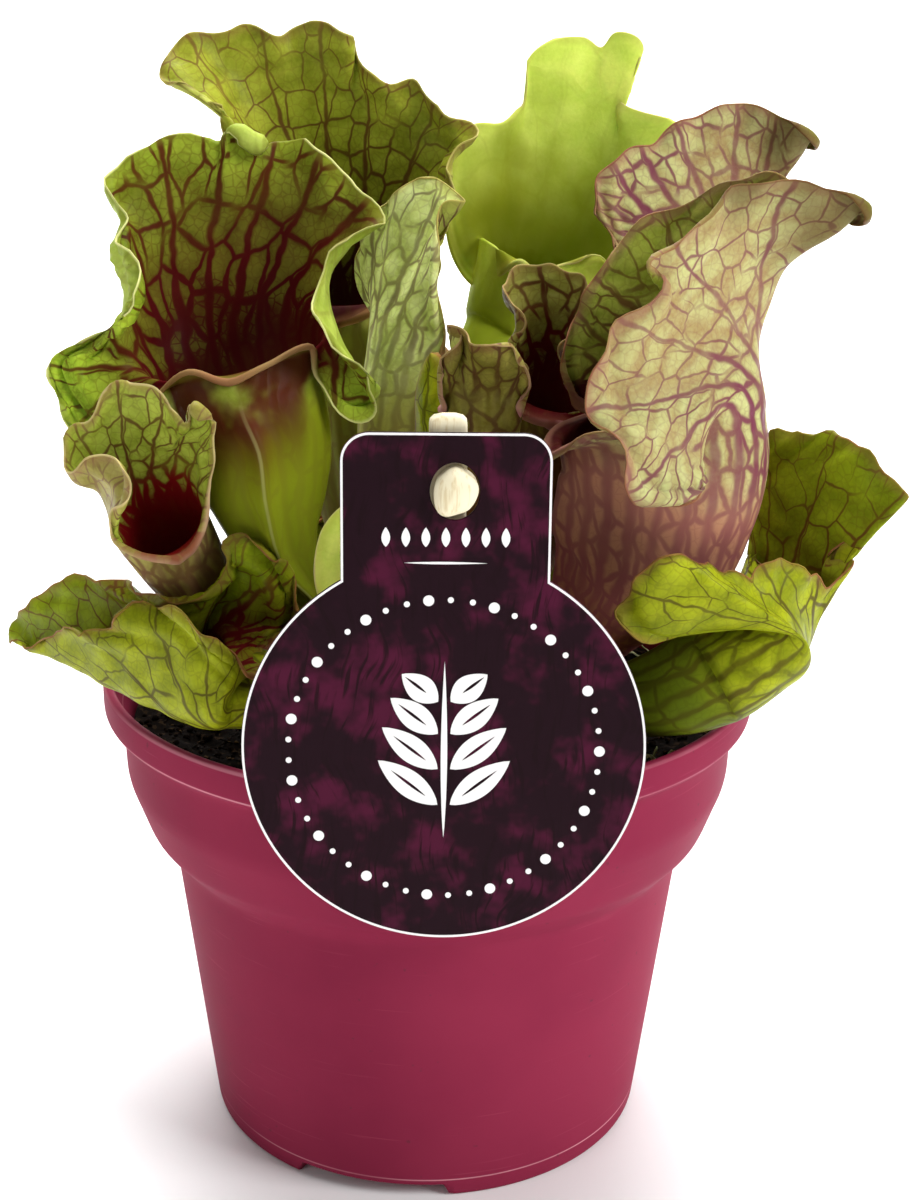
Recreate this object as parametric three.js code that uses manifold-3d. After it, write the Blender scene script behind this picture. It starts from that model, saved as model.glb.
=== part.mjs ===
// Purple pitcher plant in a nursery pot, with its hanging label card.
// Millimetres, +Z up. The origin is on the ground under the middle of the pot,
// and the label hangs on the -Y side.

import * as THREE from 'three';
import { mergeVertices } from 'three/addons/utils/BufferGeometryUtils.js';
import Module from 'manifold-3d';

const wasm = await Module();
wasm.setup();

// ---------- driving dimensions ----------

const GAP = 0.3; // clearance kept between pieces that touch

const POT_RADIUS = 44; // outside of the lip
const POT_HEIGHT = 65;
const POT_WALL = 0.9;
const POT_FOOT_HEIGHT = 2;
const POT_SEGMENTS = 48;
const FOOT_INNER_RADIUS = 27.4;
const FOOT_OUTER_RADIUS = 30.4;
const FOOT_GAP_DEG = 39; // three openings in the foot ring
const FOOT_FIRST_GAP_DEG = -104; // middle of the first opening, from +X
const DRAIN_HOLES = 6;
const DRAIN_HOLE_RADIUS = 3;
const DRAIN_CIRCLE_RADIUS = 20;

const PEAT_EDGE_Z = 57.4; // peat level at the wall
const PEAT_CROWN_Z = 56.6; // and at the rhizome

const RHIZOME_CENTRE = [2, -2, 56.5];
const RHIZOME_RADII = [21, 14.5, 6.2];

const LEAF_THICKNESS = 0.9;
const PETIOLE_SOLID_RADIUS = 3.2; // the tube is solid below this radius

const CARD_CENTRE_X = 1.8; // middle of the disc
const CARD_CENTRE_Z = 71.3;
const CARD_RADIUS = 22.9;
const CARD_TAB_HALF_WIDTH = 11.6;
const CARD_TAB_TOP = 36.3; // above the middle of the disc
const CARD_CORNER = 3.2;
const CARD_THICKNESS = 0.6;
const CARD_FRONT_Y = -45.5; // at the middle of the disc
const CARD_LEAN_DEG = 4.6;
const CARD_HOLE = [0.95, 29.8]; // in the card, from the middle of the disc
const CARD_HOLE_RADII = [2.75, 3.2];

const PEG_WIDTH = 4.2;
const PEG_THICKNESS = 1.8;
const PEG_LENGTH = 64;
const PEG_POINT = 7;
const PEG_X = 2;
const PEG_TOP_Z = 109.2;
const PEG_TOP_Y = -40.8; // middle of the strip at its top end
const PEG_LEAN_DEG = 6; // the foot of the peg leans in, away from the wall
const PEG_HEAD_RADII = [2.4, 2.85];
const PEG_HEAD_REACH = 1.6; // how far the head stands in front of the card

// ---------- materials ----------

function paint(color, roughness) {
  return new THREE.MeshStandardMaterial({ color, roughness, metalness: 0 });
}

const potPlastic = paint(0x9c3a55, 0.45);
const peat = paint(0x2a1c12, 0.95);
const rhizomeBark = paint(0x4a3020, 0.9);
const cardPaper = paint(0x3a1a2c, 0.4);
const pegWood = paint(0xeedfba, 0.6);
const dryLeaf = paint(0xa98b5e, 0.8);
const greenLeaf = paint(0x86a83a, 0.5);
const veinedLeaf = paint(0x8a9a48, 0.5);
const paleLeaf = paint(0xa9c653, 0.5);
const mauveLeaf = paint(0x9d7a5c, 0.5);

// ---------- solids and booleans ----------

function asIndexed(geometry) {
  const bare = geometry.clone();
  bare.deleteAttribute('normal');
  bare.deleteAttribute('uv');
  return mergeVertices(bare, 1e-4);
}

function asSolid(geometry) {
  const merged = asIndexed(geometry);
  const index = Array.from(merged.index.array);
  const kept = [];
  for (let i = 0; i < index.length; i += 3) {
    const [a, b, c] = index.slice(i, i + 3);
    if (a !== b && b !== c && a !== c) kept.push(a, b, c);
  }
  const vertProperties = new Float32Array(merged.attributes.position.array);
  const make = (triVerts) => new wasm.Manifold(
    new wasm.Mesh({ numProp: 3, vertProperties, triVerts: new Uint32Array(triVerts) }));
  const solid = make(kept);
  if (solid.volume() > 0) return solid;
  return make(kept.map((_, i) => kept[i - (i % 3) + 2 - (i % 3)]));
}

function asGeometry(solid) {
  const mesh = solid.getMesh();
  const geometry = new THREE.BufferGeometry();
  geometry.setAttribute('position', new THREE.BufferAttribute(mesh.vertProperties, 3));
  geometry.setIndex(new THREE.BufferAttribute(mesh.triVerts, 1));
  geometry.computeVertexNormals();
  return geometry;
}

function lathe(profile, segments) {
  const points = profile.map(([radius, z]) => new THREE.Vector2(radius, z));
  return new THREE.LatheGeometry(points, segments).rotateX(Math.PI / 2);
}

function ellipsoid(centre, radii, across, down) {
  return new THREE.SphereGeometry(1, across, down)
    .rotateX(Math.PI / 2)
    .scale(...radii)
    .translate(...centre);
}

// ---------- smooth curves ----------

// Catmull-Rom blend of four neighbours at fraction f.
function blendFour(p, f) {
  const [a, b, c, d] = p;
  return 0.5 * (2 * b + (c - a) * f + (2 * a - 5 * b + 4 * c - d) * f * f
    + (3 * b - a - 3 * c + d) * f * f * f);
}

// A row of numbers read along an open list of rows, t from 0 to 1.
function alongOpen(rows, t) {
  const last = rows.length - 1;
  const x = Math.min(Math.max(t, 0), 1) * last;
  const i = Math.min(Math.floor(x), last - 1);
  const pick = (k, column) => {
    if (k < 0) return 2 * rows[0][column] - rows[1][column];
    if (k > last) return 2 * rows[last][column] - rows[last - 1][column];
    return rows[k][column];
  };
  return rows[0].map((_, column) => blendFour(
    [pick(i - 1, column), pick(i, column), pick(i + 1, column), pick(i + 2, column)], x - i));
}

function smoothStep(low, high, x) {
  const f = Math.min(Math.max((x - low) / (high - low), 0), 1);
  return f * f * (3 - 2 * f);
}

// ---------- grown leaves ----------

// A direction from its bearing (0 is -Y, 90 is +X) and its elevation, in degrees.
function bearing(azimuth, elevation = 0) {
  const a = THREE.MathUtils.degToRad(azimuth);
  const e = THREE.MathUtils.degToRad(elevation);
  return new THREE.Vector3(Math.sin(a) * Math.cos(e), -Math.cos(a) * Math.cos(e), Math.sin(e));
}

// The frame of one ring of a tube: its centre, the way to the keel, the way to the
// side, and its two half sizes. Towards the mouth the ring tips forward by leaf.tilt.
function ringFrame(leaf, t) {
  const step = 1e-3;
  const [x, y, z, halfWidth, halfDepth] = alongOpen(leaf.spine, t);
  const ahead = new THREE.Vector3(...alongOpen(leaf.spine, Math.min(t + step, 1)));
  const behind = new THREE.Vector3(...alongOpen(leaf.spine, Math.max(t - step, 0)));
  const tangent = ahead.sub(behind).normalize();
  const front = bearing(leaf.front, leaf.frontElevation);
  front.addScaledVector(tangent, -front.dot(tangent)).normalize();
  const side = new THREE.Vector3().crossVectors(tangent, front);
  const tip = THREE.MathUtils.degToRad(leaf.tilt) * smoothStep(0.55, 1, t);
  front.multiplyScalar(Math.cos(tip)).addScaledVector(tangent, -Math.sin(tip));
  return { centre: new THREE.Vector3(x, y, z), front, side, halfWidth, halfDepth };
}

// A point of the tube at ring t and angle theta, where theta is 0 on the keel.
function tubePoint(leaf, t, theta) {
  const ring = ringFrame(leaf, t);
  const keelWidth = THREE.MathUtils.degToRad(9);
  const turned = Math.atan2(Math.sin(theta), Math.cos(theta));
  const along = Math.sin(Math.PI * Math.min(Math.max((t - 0.1) / 0.9, 0), 1));
  const keel = leaf.keel * Math.max(along, 0) ** 0.8 * Math.exp(-((turned / keelWidth) ** 2));
  return ring.centre.clone()
    .addScaledVector(ring.front, ring.halfDepth * Math.cos(theta) + keel)
    .addScaledVector(ring.side, ring.halfWidth * Math.sin(theta));
}

// Rows of points of a pitcher: rings up the tube, then rows of a cubic Bezier sheet
// that leaves the mouth in the tube's own direction and ends on the hood's edge.
function pitcherRows(leaf, tubeRows, hoodRows) {
  const angles = leaf.edge.map(([angle]) => THREE.MathUtils.degToRad(angle));
  const rows = [];
  for (let r = 0; r < tubeRows; r += 1) {
    rows.push(angles.map((theta) => tubePoint(leaf, r / (tubeRows - 1), theta)));
  }
  const mouth = rows[tubeRows - 1];
  const below = angles.map((theta) => tubePoint(leaf, 0.93, theta));
  const ring = ringFrame(leaf, 1);
  for (let r = 1; r <= hoodRows; r += 1) {
    const v = r / hoodRows;
    rows.push(leaf.edge.map(([, x, y, z, bulge], k) => {
      const end = new THREE.Vector3(x, y, z);
      const start = mouth[k];
      const leave = start.clone().sub(below[k]).normalize();
      const outward = ring.front.clone().multiplyScalar(Math.cos(angles[k]))
        .addScaledVector(ring.side, Math.sin(angles[k]));
      const first = start.clone().addScaledVector(leave, 0.33 * start.distanceTo(end));
      const second = end.clone().lerp(start, 0.33).addScaledVector(outward, bulge);
      return start.clone().multiplyScalar((1 - v) ** 3)
        .addScaledVector(first, 3 * v * (1 - v) ** 2)
        .addScaledVector(second, 3 * v * v * (1 - v))
        .addScaledVector(end, v ** 3);
    }));
  }
  return rows;
}

// Normals of a grid that closes on itself along each row.
function ringNormals(rows) {
  return rows.map((row, r) => row.map((_, k) => {
    const next = row[(k + 1) % row.length];
    const previous = row[(k + row.length - 1) % row.length];
    const above = rows[Math.min(r + 1, rows.length - 1)][k];
    const below = rows[Math.max(r - 1, 0)][k];
    return next.clone().sub(previous).cross(above.clone().sub(below)).normalize();
  }));
}

// A closed skin from rows of rings: outer wall, inner wall from ring hollowFrom up,
// the edge strip that joins them, and a cap on each of the two low ends.
function hollowSkin(rows, hollowFrom, thickness) {
  const count = rows[0].length;
  const normals = ringNormals(rows);
  const positions = [];
  const faces = [];
  const push = (point) => positions.push(...point.toArray()) / 3 - 1;
  const outer = rows.map((row) => row.map(push));
  const inner = rows.slice(hollowFrom).map((row, r) => row.map((point, k) => push(
    point.clone().addScaledVector(normals[r + hollowFrom][k], -thickness))));
  const strip = (low, high) => {
    for (let k = 0; k < count; k += 1) {
      const n = (k + 1) % count;
      faces.push(low[k], low[n], high[n], low[k], high[n], high[k]);
    }
  };
  const cap = (ring, up) => {
    const middle = new THREE.Vector3();
    ring.forEach((i) => middle.add(new THREE.Vector3().fromArray(positions, 3 * i)));
    const centre = push(middle.divideScalar(count));
    for (let k = 0; k < count; k += 1) {
      const n = (k + 1) % count;
      if (up) faces.push(ring[k], ring[n], centre);
      else faces.push(ring[n], ring[k], centre);
    }
  };
  for (let r = 0; r + 1 < outer.length; r += 1) strip(outer[r], outer[r + 1]);
  strip(outer[outer.length - 1], inner[inner.length - 1]);
  for (let r = inner.length - 1; r > 0; r -= 1) strip(inner[r], inner[r - 1]);
  cap(inner[0], true);
  cap(outer[0], false);
  const geometry = new THREE.BufferGeometry();
  geometry.setAttribute('position', new THREE.Float32BufferAttribute(positions, 3));
  geometry.setIndex(faces);
  return geometry;
}

const TUBE_ROWS = 6;
const HOOD_ROWS = 3;

function pitcher(leaf) {
  const rows = pitcherRows(leaf, TUBE_ROWS, HOOD_ROWS);
  let hollowFrom = 1;
  while (Math.min(...alongOpen(leaf.spine, hollowFrom / (TUBE_ROWS - 1)).slice(3))
    < PETIOLE_SOLID_RADIUS && hollowFrom < TUBE_ROWS - 2) hollowFrom += 1;
  return hollowSkin(rows, hollowFrom, LEAF_THICKNESS);
}

const BLADE_ROWS = 7;
const BLADE_COLUMNS = 4;

// A plain leaf blade: a strip across leaf.front that follows the spine and is dished
// by leaf.dish, with its width and its dish read at each spine point.
function blade(leaf) {
  const rows = [];
  for (let r = 0; r < BLADE_ROWS; r += 1) {
    const ring = ringFrame(leaf, r / (BLADE_ROWS - 1));
    const face = [];
    const back = [];
    for (let c = 0; c <= BLADE_COLUMNS; c += 1) {
      const u = 2 * c / BLADE_COLUMNS - 1;
      const point = ring.centre.clone()
        .addScaledVector(ring.side, u * ring.halfWidth)
        .addScaledVector(ring.front, u * u * ring.halfDepth);
      face.push(point.clone().addScaledVector(ring.front, LEAF_THICKNESS / 2));
      back.unshift(point.clone().addScaledVector(ring.front, -LEAF_THICKNESS / 2));
    }
    rows.push([...face, ...back]);
  }
  const count = rows[0].length;
  const positions = rows.flat().flatMap((point) => point.toArray());
  const faces = [];
  const quad = (a, b, c, d) => faces.push(a, b, c, a, c, d);
  for (let r = 0; r + 1 < rows.length; r += 1) {
    for (let k = 0; k < count; k += 1) {
      const n = (k + 1) % count;
      quad(r * count + k, r * count + n, (r + 1) * count + n, (r + 1) * count + k);
    }
  }
  const top = (rows.length - 1) * count;
  for (let c = 0; c < BLADE_COLUMNS; c += 1) {
    quad(c + 1, c, count - 1 - c, count - 2 - c);
    quad(top + c, top + c + 1, top + count - 2 - c, top + count - 1 - c);
  }
  const geometry = new THREE.BufferGeometry();
  geometry.setAttribute('position', new THREE.Float32BufferAttribute(positions, 3));
  geometry.setIndex(faces);
  return geometry;
}

// ---------- the leaves, one entry each ----------

// front: bearing of the keel. tilt: how far the mouth tips forward, degrees.
// keel: height of the keel. spine: x, y, z, half width, half depth, from the foot up.
// edge: the hood's rim all the way round, as angle from the keel, x, y, z, and how
// far the sheet bows outward just before it reaches the rim.
const PITCHERS = [
  {
    name: 'pitcher_front_left', skin: greenLeaf,
    front: 5, frontElevation: 0, tilt: 6, keel: 3,
    spine: [[-6, -6.5, 60.5, 2.2, 2.2], [-14, -13, 78, 2.4, 2.6], [-18.5, -16, 86, 4.6, 4.6],
      [-20, -16, 93.5, 7.2, 7], [-20.5, -15, 99.5, 8, 7.8], [-22.5, -13, 104.5, 8.8, 8.4],
      [-23.5, -11, 109.5, 9.9, 9]],
    edge: [[0, -23.5, -22, 108, 0], [30, -19.5, -20.5, 110, 0], [58, -14.5, -16, 111.5, 0],
      [74, -13.5, -17, 107.5, 0], [88, -9.5, -19, 103.5, 1], [98, -6.5, -18, 105, 1],
      [108, -12, -22, 113.5, 3], [118, -14, -21, 117.5, 4], [130, -12, -14, 122.5, 3],
      [142, -6.5, -6, 126, 1], [155, -10.5, -2, 130, 0], [166, -14.5, 0, 133.5, 0],
      [176, -18.5, 2, 134, 0], [186, -22, 1, 133, 0], [193, -25.5, -1, 135.5, 0],
      [201, -26.5, 1, 133, 0], [212, -33.5, 0, 134, 0], [222, -40, -4, 130, 0],
      [231, -37, -8, 126, 2], [240, -38.5, -11, 123.5, 2], [250, -34.5, -17, 119, 5],
      [259, -37, -16, 115, 4], [268, -42, -12, 111, 1], [277, -47, -12, 108.5, 0],
      [287, -46, -13, 103.5, 0], [300, -42.5, -15, 99.5, 0], [315, -34.5, -17, 104.5, 0],
      [335, -28.5, -21, 109, 0]],
  },
  {
    name: 'pitcher_back_left', skin: veinedLeaf,
    front: 0, frontElevation: 0, tilt: 8, keel: 1.5,
    spine: [[-8, 1, 60.4, 2.2, 2.2], [-10, 6.5, 77, 3, 3], [-11.5, 10, 89, 5, 5],
      [-12.5, 14, 99, 7.2, 7], [-13, 17, 111.5, 9, 8]],
    edge: [[0, -13, 7, 110, 0], [40, -7.5, 9, 112, 0], [75, -1.5, 11, 117.5, 0],
      [95, 2, 8, 123, 1], [110, 2.5, 10, 128, 0], [122, 2.5, 12, 132, 0],
      [132, 5, 14, 134.5, 0], [142, 1, 16, 137, 1], [150, -3, 18, 139.5, 0],
      [158, -7, 20, 140, 0], [166, -10.5, 22, 144.5, 0], [173, -11, 20, 146, 0],
      [180, -15.5, 22, 147.5, 0], [187, -18, 23, 146.5, 0], [194, -21, 22, 145.5, 0],
      [202, -25.5, 22, 147, 0], [210, -29.5, 21, 145.5, 0], [217, -33.5, 20, 145, 0],
      [224, -36, 17, 141, 0], [233, -33.5, 14, 140, 1], [243, -29, 14, 138, 0],
      [255, -27, 12, 131.5, 0], [270, -27.5, 10, 125, 0], [290, -25.5, 6, 118, 0],
      [325, -19, 4, 112, 0]],
  },
  {
    name: 'pitcher_mid_left', skin: veinedLeaf,
    front: 120, frontElevation: 0, tilt: 10, keel: 1,
    spine: [[-1, -2.5, 61, 2, 2], [-4, -3, 79.5, 2.6, 2.6], [-4.5, -2.5, 90.5, 4, 4],
      [-4.5, -1.5, 98, 4.8, 4.8], [-3, 0, 107, 5.4, 5.2]],
    edge: [[0, 2, 3, 106.5, 0], [40, 0, 7, 108, 0], [80, -5, 8, 109.5, 0],
      [100, -8, 7, 113, 0], [120, -9.5, 7, 119, 0], [140, -8.5, 6, 124.5, 0],
      [155, -5.5, 7, 125.5, 0], [166, -5, 4, 127.5, 0], [178, -2, 2, 129, 0],
      [190, 1, 2, 129, 0], [200, 3.5, 0, 127, -1], [212, 1, -2, 126.5, 0],
      [228, 1, -4, 122, 1], [246, 1, -5, 116.5, 1], [265, 1.5, -5, 111, 0],
      [290, 1.5, -4, 106.5, 0], [325, 2.5, 2, 105.5, 0]],
  },
  {
    name: 'pitcher_centre_small', skin: veinedLeaf,
    front: 180, frontElevation: 0, tilt: 12, keel: 0.8,
    spine: [[3, -10, 59.6, 2, 2], [5, -21, 86, 2.4, 2.4], [6, -22, 96.5, 3.6, 3.4],
      [6.5, -20, 104.5, 4.4, 4]],
    edge: [[0, 6.5, -14, 103.5, 0], [45, 3.5, -16, 104.5, 0], [85, 1.5, -21, 105.5, 0],
      [110, 1, -24, 110, 0], [135, 2.5, -25, 113.5, 0], [148, 2, -24, 115.5, 0],
      [163, 4, -27, 114.5, 0], [182, 6.5, -28, 114.5, 0], [203, 9, -28, 113.5, 0],
      [223, 11, -26, 111, 0], [243, 11.5, -24, 108.5, 0], [262, 11, -22, 105, 0],
      [290, 10, -19, 103, 0], [328, 9, -15, 103.5, 0]],
  },
  {
    name: 'pitcher_centre_curled', skin: veinedLeaf,
    front: -5, frontElevation: 0, tilt: 10, keel: 1,
    spine: [[7, -3.5, 60.8, 2, 2], [13.5, -4, 81, 3, 3], [15, -3, 92.5, 4.4, 4.4],
      [16, -3.5, 102.5, 5, 5]],
    edge: [[0, 15.5, -10, 101, 0], [35, 20, -7, 100, 0], [65, 21.5, -5, 102.5, 0],
      [95, 19.5, -6, 107, 0], [120, 16, -9, 108, 1], [136, 16, -10, 111, 1],
      [150, 18, -9, 113.5, 1], [162, 19, -7, 116.5, 1], [172, 18.5, -5, 118.5, 0],
      [182, 16, -4, 119.5, 0], [192, 13.5, -4, 119.5, 0], [202, 11, -5, 118.5, 0],
      [212, 9, -7, 117, 0], [222, 11, -10, 115.5, 1], [233, 11.5, -11, 113.5, 1],
      [245, 10, -10, 111, 1], [260, 12, -10, 107.5, 1], [282, 10.5, -8, 104, 0],
      [306, 11, -9, 102.5, 0], [333, 13, -10, 101.5, 0]],
  },
  {
    name: 'pitcher_back_centre', skin: paleLeaf,
    front: 0, frontElevation: 0, tilt: 4, keel: 1,
    spine: [[5, 4.5, 60.4, 2, 2], [5.5, 12, 88.5, 3, 3], [7.5, 17, 101.5, 4.2, 4.2],
      [10.5, 20, 109, 5.6, 5.4], [16, 21, 117, 7.6, 7]],
    edge: [[0, 14.5, 13, 116, 0], [30, 18.5, 14, 117, 0], [58, 23, 16, 117.5, 0],
      [78, 26, 17, 113.5, 0], [95, 28.5, 18, 117, 1], [113, 31.5, 20, 125, 0],
      [128, 35.5, 24, 131, 0], [140, 33, 28, 134.5, 0], [150, 27, 31, 136.5, 0],
      [156, 27, 32, 139, 0], [162, 29.5, 32, 143, 0], [169, 28.5, 32, 145.5, 0],
      [175, 25.5, 33, 146, 0], [181, 23.5, 33, 144, 0], [188, 21, 33, 145.5, 0],
      [196, 16.5, 32, 145, 0], [203, 13.5, 31, 142, 0], [210, 13, 29, 137, 0],
      [218, 9.5, 27, 134, 0], [227, 5.5, 24, 134, 0], [237, 2.5, 20, 128.5, 0],
      [248, 3.5, 17, 123, 1], [260, 4.5, 15, 116, 1], [275, 7, 14, 111, 0],
      [298, 7, 14, 116.5, 0], [328, 10.5, 13, 117.5, 0]],
  },
  {
    name: 'pitcher_back_right', skin: mauveLeaf,
    front: 210, frontElevation: 0, tilt: 10, keel: 1,
    spine: [[14, 1.5, 59.8, 2, 2], [22.5, 10, 76, 3, 3], [27.5, 14, 88, 5, 5],
      [32.5, 17, 101, 7, 6.5], [36, 19, 112.5, 8, 7]],
    edge: [[0, 35.5, 27, 112, 0], [40, 31, 23, 112, 0], [70, 27.5, 16, 115, 0],
      [95, 24, 10, 121, 1], [112, 21.5, 8, 125.5, 0], [128, 21.5, 8, 129, 0],
      [142, 25, 10, 132, 0], [155, 28.5, 12, 133.5, 0], [166, 32.5, 14, 135.5, 0],
      [176, 39, 16, 137, 0], [186, 42.5, 17, 137.5, 0], [196, 46.5, 17, 136, 0],
      [204, 50, 17, 133, -1], [212, 47.5, 18, 131.5, 0], [225, 46, 20, 128.5, 0],
      [245, 45, 22, 122.5, 0], [270, 44, 25, 116.5, 0], [312, 40.5, 28, 112.5, 0]],
  },
  {
    name: 'pitcher_front_right', skin: mauveLeaf,
    front: 280, frontElevation: 0, tilt: 6, keel: 1.5,
    spine: [[11, -3.5, 60.5, 2.2, 2.2], [19, -11, 70, 3.6, 3.8], [23, -13, 77.5, 6.8, 7.2],
      [27, -15, 85, 9.2, 11], [28.5, -16.5, 92, 9.6, 12.2], [29, -16.5, 97.5, 9.6, 12.8],
      [28.5, -16, 102, 9.6, 12.9]],
    edge: [[0, 14, -19, 99, 0], [32, 15.5, -26, 101.5, 0], [56, 20, -30, 104.5, 0],
      [74, 25.5, -31, 104, 0], [90, 30.5, -30, 103, 1], [101, 30.5, -33, 98.5, 3],
      [110, 28, -35, 97, 4], [119, 22.5, -36, 98.5, 4], [127, 21, -36, 105, 3],
      [135, 18, -34, 108, 1], [142, 18, -33, 111.5, 0], [149, 21, -31, 117, 0],
      [155, 25.5, -29, 121, 0], [161, 24, -29, 123.5, 0], [167, 29.5, -26, 127, -2],
      [173, 35, -23, 131.5, -3], [180, 41.5, -20, 132, -5], [187, 48.5, -18, 130.5, -5],
      [193, 50.5, -17, 127.5, -5], [200, 46, -13, 129.5, -4], [207, 40.5, -10, 131.5, -2],
      [214, 35.5, -8, 130, 0], [222, 30, -7, 127.5, 0], [230, 25.5, -7, 125, 0],
      [238, 21, -8, 120, 0], [246, 19, -9, 117, 0], [254, 18.5, -9, 114.5, 0],
      [263, 16, -10, 109.5, 0], [272, 17, -11, 105, 0], [288, 20, -11, 102.5, 0],
      [312, 21, -9, 102, 0], [338, 15.5, -12, 100.5, 0]],
  },
  {
    name: 'pitcher_low_right', skin: greenLeaf,
    front: 275, frontElevation: 55, tilt: 0, keel: 0.6,
    spine: [[13.5, -9, 59.8, 2.2, 2.2], [28, -24, 69.5, 5, 5], [34, -23.5, 72.5, 7.6, 6.8],
      [40, -20.5, 76.5, 9, 6.8]],
    edge: [[0, 41.5, -12, 82, 0], [30, 39, -20, 82.5, 0], [52, 33.5, -28, 81, 0],
      [70, 28, -31, 80, 0], [81, 24, -34, 81, 0], [90, 22.5, -35, 84.5, 1],
      [99, 24, -35, 88.5, 2], [108, 27.5, -35, 91, 2], [118, 30.5, -34, 90.5, 2],
      [128, 34.5, -32, 88.5, 2], [137, 38, -30, 87, 2], [146, 40.5, -28, 88, 1],
      [155, 43, -26, 88, 1], [164, 46, -24, 85.5, 1], [172, 49, -22, 83.5, 0],
      [180, 52.5, -20, 85, 0], [188, 50, -17, 86, 0], [197, 53, -18, 87.5, 0],
      [206, 55.5, -20, 90.5, 0], [214, 57.5, -22, 94.5, 0], [222, 56, -20, 96.5, 0],
      [231, 53, -17, 99, 0], [241, 50.5, -13, 100, 0], [253, 46.5, -8, 99, 0],
      [267, 43.5, -5, 97, 0], [285, 42.5, -3, 91.5, 0], [308, 43.5, -4, 85.5, 0],
      [335, 42.5, -8, 83, 0]],
  },
  {
    name: 'pitcher_low_left', skin: greenLeaf,
    front: 80, frontElevation: 65, tilt: 0, keel: 0.6,
    spine: [[-12.3, -9.5, 59.2, 2.1, 2.1], [-16.2, -22, 69, 4.4, 3], [-20.5, -26, 71, 6.4, 4],
      [-25, -27, 72, 7.6, 4.4]],
    edge: [[0, -20.5, -25, 76, 0], [25, -16.5, -20, 77.5, 0], [40, -16.5, -22, 83, 0],
      [54, -18.5, -23, 87.5, 0], [68, -21, -23, 89, 0], [82, -23.5, -23.5, 89, 0],
      [96, -24.5, -25, 86, 0], [109, -27.5, -26, 83.5, 0], [122, -32, -26, 82.5, 0],
      [135, -35.5, -22, 82, 0], [146, -40.5, -16, 81.5, 0], [156, -45.5, -11, 80, 0],
      [165, -51, -8, 76.5, 0], [174, -56, -4, 71, 1], [182, -54.5, -7, 69, 2],
      [192, -49.5, -13, 72, 2], [204, -45.5, -18, 76, 2], [216, -41.5, -22, 76.5, 1],
      [228, -37, -26, 80, 1], [240, -33, -29, 82.5, 1], [252, -29.5, -32, 83, 1],
      [266, -26, -34, 81, 1], [280, -23, -34, 78.5, 1], [298, -22, -33, 75.5, 0],
      [328, -20.5, -29, 75, 0]],
  },
  {
    name: 'pitcher_small_left', skin: veinedLeaf,
    front: 10, frontElevation: 0, tilt: 15, keel: 1,
    spine: [[-13, -4, 60, 2, 2], [-27, -14.5, 76, 3, 3], [-30, -18, 83.5, 4.8, 4.4],
      [-32.5, -20.5, 89.5, 5.6, 5.2]],
    edge: [[0, -30, -28, 88.5, 0], [35, -28, -27, 90, 0], [65, -27, -25, 92.5, 0],
      [90, -26.5, -24, 97, 0], [110, -26, -25, 101.5, 0], [126, -25.5, -26, 105, 1],
      [138, -27, -26, 107, 0], [148, -28.5, -25, 106, 0], [157, -29, -25, 103.5, 0],
      [167, -31.5, -24, 106.5, 0], [177, -33.5, -23, 107.5, 0], [187, -36, -22, 107.5, 0],
      [198, -39, -21, 106.5, 0], [209, -41, -21, 103.5, 0], [219, -43, -21, 101.5, 0],
      [229, -43.5, -22, 97.5, 0], [240, -40.5, -25, 99.5, 0], [250, -38, -27, 100, 0],
      [260, -36, -29, 100, 0], [270, -35, -30, 98.5, 1], [281, -36, -30, 96, 1],
      [292, -37, -29, 94, 0], [306, -37.5, -28, 91, 0], [322, -35.5, -28, 89.5, 0],
      [340, -33, -28, 88.5, 0]],
  },
  {
    name: 'pitcher_rear_left', skin: greenLeaf,
    front: -40, frontElevation: 50, tilt: 0, keel: 0.6,
    spine: [[-8, 7, 59.8, 2.2, 2.2], [-14, 15, 66.5, 4.6, 4], [-19, 22, 76, 6, 5.4]],
    edge: [[0, -14, 17, 80, 0], [45, -12, 21, 81, 0], [85, -10, 27, 80, 0],
      [110, -9, 33, 84, 0], [135, -13, 38, 90, 1], [155, -19, 40, 94, 0],
      [180, -25, 37, 96, 1], [205, -30, 33, 93, 0], [228, -31, 27, 88, 1],
      [252, -28, 20, 83, 0], [280, -24, 17, 79, 0], [320, -18, 16, 79, 0]],
  },
  {
    name: 'pitcher_rear', skin: veinedLeaf,
    front: 0, frontElevation: 45, tilt: 0, keel: 0.6,
    spine: [[0, 6.5, 60.5, 2.2, 2.2], [2, 20, 66.5, 5, 4.2], [3, 31, 75, 6.6, 5.6]],
    edge: [[0, 3, 25, 80, 0], [45, 8, 28, 80, 0], [85, 14, 33, 80, 0],
      [110, 16, 39, 84, 1], [135, 14, 44, 90, 0], [158, 8, 47, 95, 1],
      [180, 3, 48, 93, 0], [203, -2, 47, 96, 1], [226, -8, 44, 90, 0],
      [252, -10, 38, 84, 1], [278, -8, 32, 80, 0], [318, -2, 27, 80, 0]],
  },
  {
    name: 'pitcher_rear_right', skin: greenLeaf,
    front: 35, frontElevation: 50, tilt: 0, keel: 0.6,
    spine: [[11, 5, 60.3, 2.2, 2.2], [20, 16, 66.5, 4.6, 4], [26, 25, 77, 6.2, 5.4]],
    edge: [[0, 21, 19, 81, 0], [45, 27, 18, 81, 0], [82, 33, 21, 82, 0],
      [108, 37, 26, 86, 1], [134, 38, 32, 91, 0], [158, 35, 38, 95, 1],
      [180, 30, 42, 98, 0], [204, 24, 41, 94, 1], [228, 19, 38, 90, 0],
      [254, 17, 32, 85, 1], [282, 17, 26, 81, 0], [322, 18, 21, 81, 0]],
  },
];

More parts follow.
